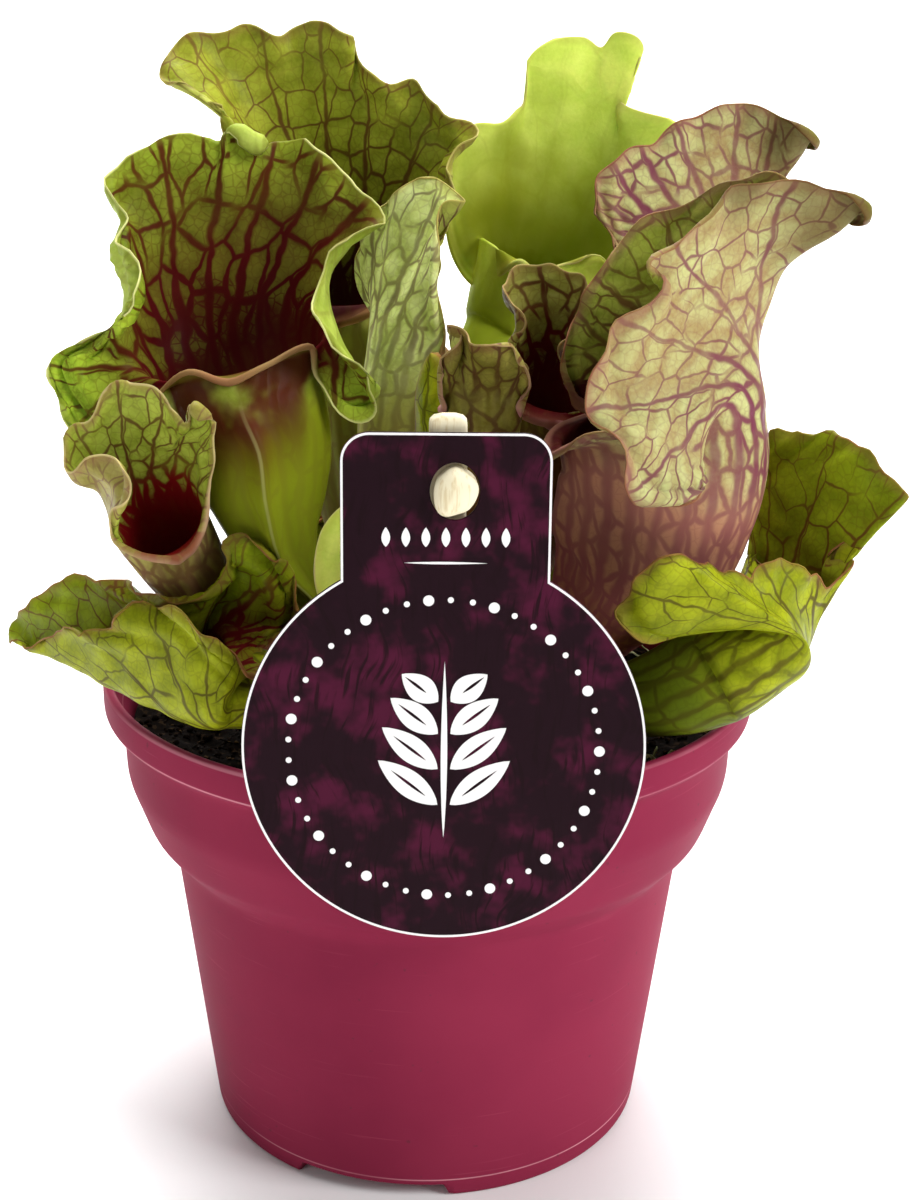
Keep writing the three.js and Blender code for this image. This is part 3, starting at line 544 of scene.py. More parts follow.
class LeafShader:
    """Works out a leaf finish's looks as sockets. Lengths are millimetres.

    grown is a point's place in space, rim its distance from the rim, along its distance from the
    mouth (less than 0 in the tube), and lip is 1 where the mouth has no hood. side is 1 on the
    inner face, throat is along as a share of the throat's reach, and worn is 1 on brown spots.
    fan counts main veins from the keel, height is along again, and gauge is the distance between
    main veins. patches and grain are noise, and on_tube is 1 below the mouth. Of the vein net,
    net is 1 on a vein, off_main is the distance from a main vein, pillow is 1 in the middle of a
    cell, and fine is a net of its own at a millimetre.
    """

    def __init__(self, finish: LeafFinish, add: Callable) -> None:
        """Reads the leaf's attributes and the noises, and draws its vein net.

        Args:
            finish: The leaf finish.
            add: add_node, for the material's own tree.
        """
        self.finish, self.add = finish, add
        metres = add("TexCoord", (), "Object")
        self.grown = add("VectorMath", (metres, (1 / MM,) * 3), **TIMES)
        place, face, net = (
            add("Attribute", (), "Vector", attribute_name=name) for name in ("place", "face", "net")
        )
        self.rim, self.along, self.lip = add("SeparateXYZ", (place,), None)
        self.side, self.throat, self.worn = add("SeparateXYZ", (face,), None)
        self.fan, self.height, self.gauge = add("SeparateXYZ", (net,), None)
        self.patches = add("TexNoise", {"Vector": self.grown, "Scale": 0.1, "Detail": 3.0})
        self.grain = add("TexNoise", {"Vector": self.grown, "Scale": 2.0, "Detail": 3.0})
        self.on_tube = add("MapRange", (self.along, -9.0, 1.0, 1.0, 0.0), **EASED)
        self.net, self.off_main, self.pillow, self.fine = self.veins()

    def wandered(self) -> tuple[Socket, Socket]:
        """Sways the chart of the veins by about a millimetre, so that it doesn't look ruled.

        Returns:
            Main veins from the keel, and height in cells.
        """
        add = self.add
        wander = add("TexNoise", {"Vector": self.grown, "Scale": 0.24, "Detail": 2.0}, "Color")
        centred = add("VectorMath", (wander, (0.5,) * 3), operation="SUBTRACT")
        sway, rise, _ = add("SeparateXYZ", (centred,), None)
        sway = add("Math", (sway, self.gauge), **OVER)
        height = add("Math", (rise, 2.4, self.height), **TIMES_PLUS)
        height = add("Math", (height, self.finish.cell), **OVER)
        return add("Math", (sway, 2.2, self.fan), **TIMES_PLUS), height

    def cells(self, count: Socket, height: Socket, taper: Socket, band: tuple) -> tuple:
        """Draws one net of cells between the main veins.

        Args:
            count: Main veins from the keel.
            height: Height in cells.
            taper: How thick veins are here.
            band: One row of the finish's bands.

        Returns:
            Distance from a vein in cells, and 1 on a vein where this net is the one drawn.
        """
        add, cell, wide = self.add, self.finish.cell, self.finish.vein_width
        times, near, far = band
        across = add("Math", (count, times, 3.6 * times), **TIMES_PLUS)
        spot = add("CombineXYZ", (across, height))
        found = add(
            "TexVoronoi", {"Vector": spot, "Scale": 1.0, "Randomness": 0.8},
            feature="DISTANCE_TO_EDGE", voronoi_dimensions="2D",
        )
        size = add("Math", (self.gauge, 0.5 / times, 0.5 * cell), **TIMES_PLUS)
        apart = add("Math", (add("Math", (found, size), **TIMES), taper), **OVER)
        drawn = add("MapRange", (apart, 0.25 * wide, wide, 0.95, 0.0), **EASED)
        for bound, low, high in ((near, 0.0, 1.0), (far, 1.0, 0.0)):
            start, end = 0.88 * bound * cell, 1.12 * bound * cell + 0.01
            suits = add("MapRange", (self.gauge, start, end, low, high), **EASED)
            drawn = add("Math", (drawn, suits), **TIMES)
        return found, drawn

    def veins(self) -> tuple[Socket, Socket, Socket, Socket]:
        """Draws main veins that run up from the throat and taper, and a net between them.

        Where main veins have spread, more cells fit across; where they crowd, fewer do.

        Returns:
            The sockets net, off_main, pillow and fine.
        """
        add, wide = self.add, self.finish.main_width
        count, height = self.wandered()
        taper = add("MapRange", (self.throat, 0.2, 3.0, 1.8, 0.7), **EASED)
        from_main = add("Math", (count, 0.5), operation="PINGPONG")
        off_main = add("Math", (from_main, self.gauge), **TIMES)
        main = add("Math", (off_main, taper), **OVER)
        main = add("MapRange", (main, 0.25 * wide, wide, 1.0, 0.0), **EASED)
        roomy = add("MapRange", (self.gauge, 1.4, 2.6), **EASED)
        net = add("Math", (main, roomy), **TIMES)
        nets = [self.cells(count, height, taper, band) for band in self.finish.bands]
        fine = add("TexVoronoi", {"Vector": self.grown, "Scale": 0.8}, feature="DISTANCE_TO_EDGE")
        minor = add("MapRange", (fine, 0.0, 0.12, 0.25, 0.0), **EASED)
        for drawn in (*(drawn for _, drawn in nets), minor):
            net = add("Math", (net, drawn), **LARGER)
        return net, off_main, add("MapRange", (nets[1][0], 0.02, 0.36), **EASED), fine

    def ink(self) -> Socket:
        """How much pigment the veins hold; on the tube the main veins are wide stripes.

        Returns:
            Share of the vein colour, 0 to 1.
        """
        add, strength = self.add, self.finish.strength
        fade = add("MapRange", (self.patches, 0.38, 0.56, 0.72, 1.0))
        weaker = add("MapRange", (self.throat, 0.8, 4.0, 1.0, 0.88))
        power = add("Mix", (self.side, *strength[::-1]))
        ink = add("Math", (self.net, add("Math", (fade, weaker), **TIMES)), **TIMES)
        ink = add("Math", (ink, power), **TIMES)
        stripe = add("MapRange", (self.off_main, 0.1, 0.8, 0.8 * strength[1], 0.0), **EASED)
        tube_ink = add("Math", (add("Math", (ink, stripe), **LARGER), 0.7), **TIMES)
        return add("Mix", (self.on_tube, ink, tube_ink))

    def tissue(self) -> Socket:
        """Colour of the veined tissue: paler in the middle of a cell, and cloudy over 10 mm.

        Returns:
            The colour.
        """
        add, f = self.add, self.finish
        cloudy = add("MapRange", (self.patches, 0.38, 0.62))
        dotted = add("MapRange", (self.grain, 0.32, 0.68))
        low_tube = add("MapRange", (self.along, -32.0, -10.0, 1.0, 0.0), **EASED)
        tone = add("Mix", (0.25, add("Mix", (0.45, self.pillow, cloudy)), dotted))
        inner = add("Mix", (tone, *map(linear, f.inner)), **RGBA)
        outer = add("Mix", (tone, *map(linear, f.outer)), **RGBA)
        tube = add("Mix", (low_tube, *map(linear, f.tube)), **RGBA)
        vein = add("Mix", (self.side, *map(linear, f.vein[::-1])), **RGBA)
        outer = add("Mix", (self.on_tube, outer, tube), **RGBA)
        skin = add("Mix", (self.side, outer, inner), **RGBA)
        return add("Mix", (self.ink(), skin, vein), **RGBA)

    def flood(self) -> Socket:
        """Colour deep in the throat: a haze, then a ragged dark front that follows the veins.

        On the netted leaves it is red pigment; on the young lime leaf it is painted shade.

        Returns:
            Share of the throat colour, 0 to 1.
        """
        add, f = self.add, self.finish
        shifted = add("Math", (self.net, -0.7 * f.strength[0], self.throat), **TIMES_PLUS)
        ragged = add("Math", (self.patches, 1.4, shifted), **TIMES_PLUS)
        deep = add("MapRange", (ragged, 0.7, 1.9, 0.98, 0.0), **EASED)
        haze = add("MapRange", (ragged, 1.2, 3.4, f.haze, 0.0), **EASED)
        return add("Math", (add("Math", (deep, haze), **LARGER), self.side), **TIMES)

    def lip_shadow(self) -> Socket:
        """Painted shade: a blotchy dark red shadow just under the lip, on the outside of the tube.

        Returns:
            Share of the throat colour, 0 to 1.
        """
        add = self.add
        lip_shadow = add("MapRange", (self.throat, -0.9, -0.25, 0.0, self.finish.lip_shadow_strength), **EASED)
        above = add("MapRange", (self.throat, 0.1, 0.9, 1.0, 0.0), **EASED)
        blotchy = add("MapRange", (self.patches, 0.26, 0.46), **EASED)
        below_lip = add("MapRange", (self.lip, 0.02, 0.3))
        for limit in (above, blotchy, below_lip):
            lip_shadow = add("Math", (lip_shadow, limit), **TIMES)
        return lip_shadow

    def coats(self) -> tuple:
        """What lies on the tissue towards the rim and on brown spots, and a painted highlight on
        the keel.

        Returns:
            Pairs of a share and a colour, in the order in which they are laid on.
        """
        add, f = self.add, self.finish
        band = add("MapRange", (self.rim, 0.3, 1.6, f.flushed, 0.0), **EASED)
        edge = add("Mix", (self.lip, linear(f.rim), linear(f.lip)), **RGBA)
        line = add("MapRange", (self.rim, 0.05, 0.3, 0.95, 0.0), **EASED)
        broken = add("MapRange", (self.patches, 0.4, 0.56, 0.35, 1.0))
        line = add("Math", (line, add("Math", (broken, self.lip), **LARGER)), **TIMES)
        spent = add("Math", (self.worn, self.patches), **TIMES)
        spent = add("MapRange", (spent, 0.08, 0.4, 0.0, 0.7))
        # Painted highlight: a thin pale line along the crest of the tube's keel.
        nearest = add("Math", (self.fan, 0.5 * f.main_veins), operation="PINGPONG")
        keel_gap = add("Math", (nearest, self.gauge), **TIMES)
        highlight_on_keel = add("MapRange", (keel_gap, 0.1, 0.36, f.keel_highlight, 0.0), **EASED)
        highlight_on_keel = add("Math", (highlight_on_keel, self.on_tube), **TIMES)
        return (
            (band, linear(f.flush)), (line, edge), (spent, linear(f.worn)), (highlight_on_keel, linear(f.rim)),
        )

    def looks(self) -> dict:
        """Lays the colours over each other, and adds relief, gloss and depth.

        Tissue stands proud between the veins; the grain is the cuticle's own, near 0.4 mm.

        Returns:
            Sockets and values by the names of the principled shader's inputs.
        """
        add, f = self.add, self.finish
        skin, inside, throat = self.tissue(), self.flood(), linear(f.throat)
        # The second coat is painted shade: the dark red shadow under the lip.
        for share, colour in ((inside, throat), (self.lip_shadow(), throat), *self.coats()):
            skin = add("Mix", (share, skin, colour), **RGBA)
        proud = add("Mix", (0.2, self.pillow, self.fine))
        calm = add("Math", (inside, self.on_tube), **LARGER)
        flattened = add("MapRange", (calm, 0.0, 1.0, 1.0, 0.25))
        relief = add("Math", (self.grain, 0.16, proud), **TIMES_PLUS)
        relief = add("Math", (relief, flattened), **TIMES)
        rough = (f.roughness - 0.06, f.roughness + 0.1)
        return {
            "Base Color": skin,
            "Roughness": add("MapRange", (self.grain, 0.3, 0.7, *rough)),
            "Normal": add("Bump", {"Strength": 0.5, "Distance": 0.28 * MM, "Height": relief}),
            "IOR": 1.42,
            "Specular IOR Level": add("MapRange", (calm, 0.0, 1.0, 0.1, 0.03)),
            "Subsurface Weight": f.glow,
            "Subsurface Radius": (0.6, 1.0, 0.25),
            "Subsurface Scale": 1.0 * MM,
        }


@dataclass(frozen=True)
class PotPlasticFinish(Finish):
    """Thermoformed coloured polypropylene: an even satin skin with a little mould grain.

    The eye gets an even plum pink, broad soft highlights, faint cloudy tone, and a few fine
    rubbed scratches and specks of dried peat. edges are painted highlights, thin pale lines along
    the sharp edges of the moulding: height and half width in millimetres, and strength.
    """

    colour: tuple[str, str] = ("822640", "8c2c46")
    scuff: str = "b0566c"
    # edge and edges: painted highlights, thin pale lines along the moulding's sharp edges.
    edge: str = "e8a4b0"
    edges: tuple = ((61.0, 0.2, 0.5), (64.7, 0.3, 0.35), (2.75, 0.16, 0.65))
    dust: str = "5a3038"
    roughness: float = 0.5

    def looks(self, add: Callable) -> dict:
        """Cloudy tone, rub marks that run round the pot, painted edge highlights and specks of
        dust.

        Args:
            add: add_node, for the material's own tree.

        Returns:
            Values and sockets for the shader's inputs, by name.
        """
        where = add("TexCoord", (), "Object")
        cloud = add("TexNoise", {"Vector": where, "Scale": 28.0, "Detail": 4.0})
        tone = add("MapRange", (cloud, 0.35, 0.6))
        skin = add("Mix", (tone, *map(linear, self.colour)), **RGBA)
        # Rub marks are long in X and Y and 0.3 mm high.
        flat = add("VectorMath", (where, (60.0, 60.0, 1900.0)), **TIMES)
        lines = add("TexNoise", {"Vector": flat, "Scale": 1.0, "Detail": 2.0})
        coats = [(add("MapRange", (lines, 0.68, 0.78, 0.0, 0.3)), linear(self.scuff))]
        height = add("SeparateXYZ", (where,), "Z")
        # Painted highlights: pale lines at the lip's lower corner, the lip's top and the foot's
        # edge, broken up by the cloudy tone.
        for at, half, strength in self.edges:
            off = add("Math", (height, at * MM), operation="SUBTRACT")
            off = add("Math", (off,), operation="ABSOLUTE")
            near, far = 0.3 * half * MM, half * MM
            pale = add("MapRange", (off, near, far, strength, 0.0), **EASED)
            coats.append((add("Math", (pale, tone), **TIMES), linear(self.edge)))
        specks = add("TexNoise", {"Vector": where, "Scale": 900.0, "Detail": 1.0})
        coats.append((add("MapRange", (specks, 0.76, 0.8, 0.0, 0.5)), linear(self.dust)))
        for share, colour in coats:
            skin = add("Mix", (share, skin, colour), **RGBA)
        mould = add("TexNoise", {"Vector": where, "Scale": 1500.0, "Detail": 2.0})
        rough = (self.roughness - 0.04, self.roughness + 0.07)
        return {
            "Base Color": skin,
            "Roughness": add("MapRange", (cloud, 0.3, 0.7, *rough)),
            "Normal": add("Bump", {"Strength": 0.12, "Distance": 0.1 * MM, "Height": mould}),
            "IOR": 1.49,
            "Specular IOR Level": 0.02,
            "Subsurface Weight": 0.04,
            "Subsurface Radius": (1.0, 0.3, 0.3),
            "Subsurface Scale": 0.8 * MM,
        }


@dataclass(frozen=True)
class EarthFinish(Finish):
    """Moist peat, its crumbs, moss or bark: dull and uneven at the grain size given in mm.

    The colours are the hollows, the grains and a rare pale fleck.
    """

    colour: tuple[str, str, str]
    grain: float
    relief: float = 0.6
    roughness: float = 0.92

    def looks(self, add: Callable) -> dict:
        """Three crumbly tones on object coordinates.

        Args:
            add: add_node, for the material's own tree.

        Returns:
            Values and sockets for the shader's inputs, by name.
        """
        where = add("TexCoord", (), "Object")
        scale, depth = 1 / (self.grain * MM), self.grain * 0.4 * MM
        tone = add("TexNoise", {"Vector": where, "Scale": scale, "Detail": 5.0})
        spots = add("TexVoronoi", {"Vector": where, "Scale": scale * 0.8}, "Color")
        raised = add("MapRange", (tone, 0.35, 0.65))
        rare = add("MapRange", (add("SeparateColor", (spots,), "Red"), 0.86, 0.9, 0.0, 0.7))
        hollow, grains, fleck = map(linear, self.colour)
        skin = add("Mix", (raised, hollow, grains), **RGBA)
        return {
            "Base Color": add("Mix", (rare, skin, fleck), **RGBA),
            "Roughness": self.roughness,
            "Normal": add("Bump", {"Strength": self.relief, "Distance": depth, "Height": tone}),
            "IOR": 1.4,
            "Specular IOR Level": 0.05,
        }


@dataclass(frozen=True)
class PrintedCardFinish(Finish):
    """Offset print on coated card: a dark aubergine ground under a thin satin varnish.

    The eye gets cloudy magenta blotches about 4 mm across and fine dark streaks, and a soft
    sheen from the varnish.
    """

    colour: tuple[str, str, str] = ("1e0a13", "4a122c", "1a080e")

    def looks(self, add: Callable) -> dict:
        """Blotches, and streaks 0.5 mm wide and 6 mm long that wander down the card.

        Args:
            add: add_node, for the material's own tree.

        Returns:
            Values and sockets for the shader's inputs, by name.
        """
        where = add("TexCoord", (), "Object")
        ground, blotch, streak = map(linear, self.colour)
        cloud = {"Vector": where, "Scale": 190.0, "Detail": 3.0, "Roughness": 0.55}
        cloudy = add("MapRange", (add("TexNoise", cloud), 0.46, 0.68), **EASED)
        bent = add("TexNoise", {"Vector": where, "Scale": 90.0, "Detail": 1.0}, "Color")
        moved = add("VectorMath", (bent, (0.008,) * 3, where), **TIMES_PLUS)
        drawn = add("VectorMath", (moved, (1500.0, 1.0, 170.0)), **TIMES)
        streaks = add("TexNoise", {"Vector": drawn, "Scale": 1.0, "Detail": 2.0})
        dark = add("MapRange", (streaks, 0.52, 0.66, 0.0, 0.85), **EASED)
        skin = add("Mix", (cloudy, ground, blotch), **RGBA)
        fibre = add("TexNoise", {"Vector": where, "Scale": 2500.0, "Detail": 2.0})
        return {
            "Base Color": add("Mix", (dark, skin, streak), **RGBA),
            "Roughness": 0.55,
            "Normal": add("Bump", {"Strength": 0.08, "Distance": 0.05 * MM, "Height": fibre}),
            "Specular IOR Level": 0.08,
        }


@dataclass(frozen=True)
class InkFinish(Finish):
    """White ink, or the bare cut edge of the card: chalky white with a faint paper tooth."""

    colour: tuple[str, str] = ("efeceb", "f8f6f5")

    def looks(self, add: Callable) -> dict:
        """A faint tooth on object coordinates.

        Args:
            add: add_node, for the material's own tree.

        Returns:
            Values and sockets for the shader's inputs, by name.
        """
        where = add("TexCoord", (), "Object")
        tooth = add("TexNoise", {"Vector": where, "Scale": 1800.0, "Detail": 3.0})
        skin = add("Mix", (tooth, *map(linear, self.colour)), **RGBA)
        return {"Base Color": skin, "Roughness": 0.55}


@dataclass(frozen=True)
class PaleWoodFinish(Finish):
    """Sawn birch or poplar strip, unvarnished: ivory with fine straight grain and dull fibres."""

    colour: tuple[str, str] = ("f3e8c6", "dcc795")
    grain_width: float = 0.45
    grain_length: float = 8.1

    def looks(self, add: Callable) -> dict:
        """Grain that runs up the strip, on object coordinates.

        Args:
            add: add_node, for the material's own tree.

        Returns:
            Values and sockets for the shader's inputs, by name.
        """
        where = add("TexCoord", (), "Object")
        across, up = 1 / (self.grain_width * MM), 1 / (self.grain_length * MM)
        drawn = add("VectorMath", (where, (across, across, up)), **TIMES)
        grain = add("TexNoise", {"Vector": drawn, "Scale": 1.0, "Detail": 4.0})
        line = add("MapRange", (grain, 0.5, 0.68, 0.0, 0.75), **EASED)
        return {
            "Base Color": add("Mix", (line, *map(linear, self.colour)), **RGBA),
            "Roughness": 0.62,
            "Normal": add("Bump", {"Strength": 0.35, "Distance": 0.12 * MM, "Height": grain}),
        }


@dataclass(frozen=True)
class StudioPaperFinish(Finish):
    """Matt white background paper, rolled down a wall and over a table."""

    colour: str = "fafafa"

    def looks(self, add: Callable) -> dict:
        """An even dull white, which needs no node of its own."""
        return {"Base Color": linear(self.colour), "Roughness": 0.9}


# The leaves' skins. Colours run from the young lime hood to the old, red-netted ones.
RED_NET_LEAF = LeafFinish(
    name="leaf_with_red_net", slot="leaf_green",
    inner=("769818", "c8e444"), outer=("90a432", "bccc5c"), vein=("5c1810", "6a4a24"),
    strength=(0.9, 0.3), tube=("848e1a", "76801a"), throat="4c080e", rim="dcdc90",
    flush="7c7c28", lip="905c40", cell=6.0, main_veins=22.0, vein_width=0.32, main_width=0.46,
    lip_shadow_strength=0.95, haze=0.82, keel_highlight=0.24,
)
OLIVE_LEAF = LeafFinish(
    name="olive_leaf_with_coarse_net", slot="leaf_veined",
    inner=("80881e", "b4b83c"), outer=("9aa03c", "c4c860"), vein=("642820", "6a4030"),
    strength=(0.86, 0.6), tube=("86883a", "747430"), throat="3a0c12", rim="b8ac60",
    flush="7a5030", lip="a87850", cell=4.2, main_veins=20.0, vein_width=0.32, main_width=0.56,
    haze=0.6,
)
PURPLE_VEINED_LEAF = LeafFinish(
    name="pale_leaf_with_purple_veins", slot="leaf_veined",
    inner=("848c34", "acb450"), outer=("ccd870", "f6ffb0"), vein=("541a26", "5e2a3a"),
    strength=(0.9, 0.74), tube=("b8b45a", "74502c"), throat="3a0a12", rim="b4a058",
    flush="948844", lip="a07050", cell=4.6, vein_width=0.26, main_width=0.38,
)
DARK_NET_LEAF = LeafFinish(
    name="dark_netted_leaf", slot="leaf_veined",
    inner=("9aa040", "ccd070"), outer=("6c6420", "989040"), vein=("460c18", "481418"),
    strength=(0.9, 0.88), tube=("6c5028", "5c482c"), throat="64121a", rim="a88c5c",
    flush="7a4434", lip="b87c7c", cell=3.9, vein_width=0.32, main_width=0.42,
)
# On the young lime leaf the olive throat colour and its wide haze are painted shade, darker deep in
# the hood.
LIME_LEAF = LeafFinish(
    name="young_lime_leaf", slot="leaf_pale",
    inner=("d2e45c", "f0fa7c"), outer=("b0c43a", "d0e060"), vein=("84801c", "84803a"),
    strength=(0.06, 0.12), tube=("94a428", "808c24"), throat="7a8008", rim="ccb880",
    flush="a89448", lip="c4cc68", flushed=0.3, cell=7.0, vein_width=0.3, glow=0.2, haze=0.9,
)
MAUVE_VEINED_LEAF = LeafFinish(
    name="pale_leaf_with_mauve_veins", slot="leaf_mauve",
    inner=("84902c", "b0b650"), outer=("a08656", "c6ca86"), vein=("5c2020", "742c48"),
    strength=(0.85, 0.96), tube=("bc8468", "9c604c"), throat="3c0a12", rim="8c5840",
    flush="9a6a58", lip="b0bc68", worn="54401a", cell=3.7, main_veins=24.0, vein_width=0.34,
    main_width=0.62, flushed=0.6,
)
THIN_VEINED_LEAF = LeafFinish(
    name="green_leaf_with_thin_veins", slot="leaf_green",
    inner=("6c7a0c", "96a81a"), outer=("76800c", "a8b01a"), vein=("5a2018", "3c2010"),
    strength=(0.8, 0.85), tube=("5e6c14", "6c7420"), throat="5a0c14", rim="8c5c34",
    flush="805634", lip="a06844", cell=5.4, vein_width=0.24, main_width=0.36, flushed=0.4,
)
MOTTLED_LEAF = LeafFinish(
    name="mottled_leaf_with_maroon_net", slot="leaf_veined",
    inner=("869428", "b8c44c"), outer=("8c8438", "b4a862"), vein=("541018", "6c3038"),
    strength=(0.95, 0.8), tube=("8c703c", "845040"), throat="800e16", rim="ccb880",
    flush="98704c", lip="b07874", cell=3.4, vein_width=0.36, main_width=0.42, haze=0.2,
)
DRY_LEAF = LeafFinish(
    name="dried_leaf", slot="leaf_dry",
    inner=("a08454", "bca474"), outer=("987c4c", "b49c6c"), vein=("6c4c30", "6c4c30"),
    strength=(0.5, 0.5), tube=("947848", "826840"), throat="5c4028", rim="c8b488",
    flush="987c50", lip="c8b488", cell=3.0, roughness=0.7, glow=0.0,
)
POT_PLASTIC = PotPlasticFinish("thermoformed_polypropylene", "pot")
PEAT = EarthFinish("moist_peat", "peat", ("050302", "100a06", "2c2014"), grain=0.5)
CRUMBS = EarthFinish("peat_crumbs", "peat", ("060403", "160e08", "503e28"), grain=0.6)
MOSS = EarthFinish("moss_strands", "peat", ("6c7448", "a0a678", "b8b890"), grain=1.5, relief=0.2)
BARK = EarthFinish("rhizome_bark", "rhizome", ("2e2016", "5c4630", "7c6a48"), 2.6, relief=0.9)
CARD_PRINT = PrintedCardFinish("varnished_print_on_card", "label_card")
WHITE_INK = InkFinish("white_ink_on_card", "label_card")
POPLAR = PaleWoodFinish("bare_poplar", "label_peg")
PAPER = StudioPaperFinish("white_background_paper", "studio")


# ---------------------------------------------------------------- leaves


class Side(Enum):
    """The two faces of a leaf, as the leaf finishes read them."""

    OUTER = 0.0
    INNER = 1.0


def there_and_back(outer: Array, inner: Array, hollow: int) -> Array:
    """Rings up the outer face of a leaf, then down its inner face to ring number hollow."""
    return np.concatenate([outer, inner[hollow:][::-1]])


@dataclass
class Pitcher:
    """One grown leaf: petiole, tube, rolled lip and hood as one thin closed skin.

    The tube is a run of ellipses on a smooth spine. Above the mouth the sheet carries on in the
    tube's own direction as a cubic Bezier, and ends on a listed rim that runs all the way
    round. The rim rolls outward, widely at the lip and tightly along the hood.

    spine rows are x, y, z, half width, half depth; edge rows are angle from the keel, x, y, z,
    and, if it does, how far the sheet bows outward just before the rim. worn rows are x, y, z and
    radius of the places where the leaf is aged and brown. curls rows are angle, half spread in
    degrees, radius (less than 0 to curl inward) and turn in degrees of the rim's coils. The
    lengths quilt_wave, ruffle_wave and crimp_wave go with the heights quilting, ruffle and crimp.
    """

    name: str
    finish: LeafFinish
    front: float
    tilt: float
    keel: float
    seed: int
    spine: tuple
    edge: tuple
    front_elevation: float = 0.0
    thickness: float = 0.42
    lip_roll: float = 0.5
    hood_roll: float = 0.14
    ruffle: float = 1.15
    crimp: float = 0.55
    quilting: float = 0.16
    ruffle_wave: float = 8.0
    crimp_wave: float = 4.5
    quilt_wave: float = 5.5
    spur_reach: float = 9.0
    lip_reach: float = 5.0
    throat_reach: float = 10.0
    throat_side: float = 0.3
    places: int = 144
    tube_rings: int = 34
    hood_rings: int = 34
    roll_rings: int = 8
    keel_width_deg: float = 9.0
    main_veins: float = 15.0
    least_gauge: float = 0.6
    solid_below: float = 2.9
    worn: tuple = ()
    curls: tuple = ()

    def ring_frames(self, t: Array) -> tuple[Array, Array, Array, Array, Array]:
        """Frames of the tube's rings.

        Args:
            t: Places on the spine, 0 at the foot and 1 at the mouth.

        Returns:
            Centres, ways to the keel, ways to the side, half widths and half depths.
        """
        table = np.array(self.spine, float)
        row = through_open(table, t)
        tangent = unit((through_open(table, t + 1e-3) - through_open(table, t - 1e-3))[:, :3])
        front = bearing(self.front, self.front_elevation)
        keel = unit(front - (tangent @ front)[:, None] * tangent)
        side = np.cross(tangent, keel)
        tip = math.radians(self.tilt) * smoothstep(0.55, 1.0, t)[:, None]
        keel = keel * np.cos(tip) - tangent * np.sin(tip)
        return row[:, :3], keel, side, row[:, 3], row[:, 4]

    def tube(self, t: Array, theta: Array) -> Array:
        """Tube points: centre + keel way * (depth cos + ridge) + side way * width sin.

        Args:
            t: Places on the spine.
            theta: Angles from the keel in radians.

        Returns:
            Points, rings by places by 3.
        """
        centre, keel, side, width, depth = self.ring_frames(t)
        turned = np.degrees(wrapped(theta))
        rise = np.maximum(np.sin(np.pi * np.clip((t - 0.1) / 0.74, 0, 1)), 0) ** 0.8
        ridge = self.keel * rise[:, None] * np.exp(-((turned / self.keel_width_deg) ** 2))
        reach = (depth[:, None] * np.cos(theta) + ridge)[..., None]
        across = (width[:, None] * np.sin(theta))[..., None]
        return centre[:, None] + reach * keel[:, None] + across * side[:, None]

    def hood(self, mouth: Array, leave: Array, outward: Array, read: Array) -> Array:
        """Sheet above the mouth: cubic Bezier lines from the mouth to the rim.

        Args:
            mouth: Where each line starts.
            leave: Its direction there.
            outward: The way in which it may bow.
            read: Where it ends, and how far it bows.

        Returns:
            Points, rings by places by 3.
        """
        end, bow = read[:, :3], read[:, 3:]
        span = np.linalg.norm(end - mouth, axis=1, keepdims=True)
        first = mouth + 0.33 * span * leave
        second = end + 0.33 * (mouth - end) + bow * outward
        v = np.linspace(0, 1, self.hood_rings + 1)[1:, None, None]
        inner = 3 * v * (1 - v) ** 2 * first + 3 * v**2 * (1 - v) * second
        return (1 - v) ** 3 * mouth + inner + v**3 * end

    def growth_lines(self) -> tuple[Array, Array]:
        """Spreads the edge rows evenly over the places.

        Returns:
            Angle of each line from the keel in radians, and its rim row: x, y, z and bow.
        """
        s = np.arange(self.places) / self.places
        table = np.array([(*row, 0)[:5] for row in self.edge], float)
        start = table[:, 0] - 360 * np.arange(len(table)) / len(table)
        theta = np.radians(through_closed(start[:, None], s)[:, 0] + 360 * s)
        return theta, through_closed(table[:, 1:], s)

    def plain_sheet(self, theta: Array, read: Array) -> tuple[Array, Array]:
        """Tube and hood as one smooth sheet midway between the leaf's faces.

        The rim's spurs and notches only shape the outer spur_reach; further in it is calm.

        Args:
            theta: Angle of each growth line.
            read: Its rim row.

        Returns:
            Points, rings by places by 3, and each line's way from the mouth to the rim.
        """
        tube = self.tube(np.linspace(0, 1, self.tube_rings), theta)
        mouth = tube[-1]
        leave = unit(mouth - self.tube(np.array([0.93]), theta)[0])
        span = np.linalg.norm(read[:, :3] - mouth, axis=1)
        _, keel, side, _, _ = self.ring_frames(np.array([1.0]))
        outward = np.cos(theta)[:, None] * keel + np.sin(theta)[:, None] * side
        sharp = self.hood(mouth, leave, outward, read)
        calm = self.hood(mouth, leave, outward, softened(read, self.places / 26))
        left = (1 - np.linspace(0, 1, self.hood_rings + 1)[1:, None]) * span
        sheet = calm + smoothstep(self.spur_reach, 0, left)[..., None] * (sharp - calm)
        return np.concatenate([tube, sheet]), span

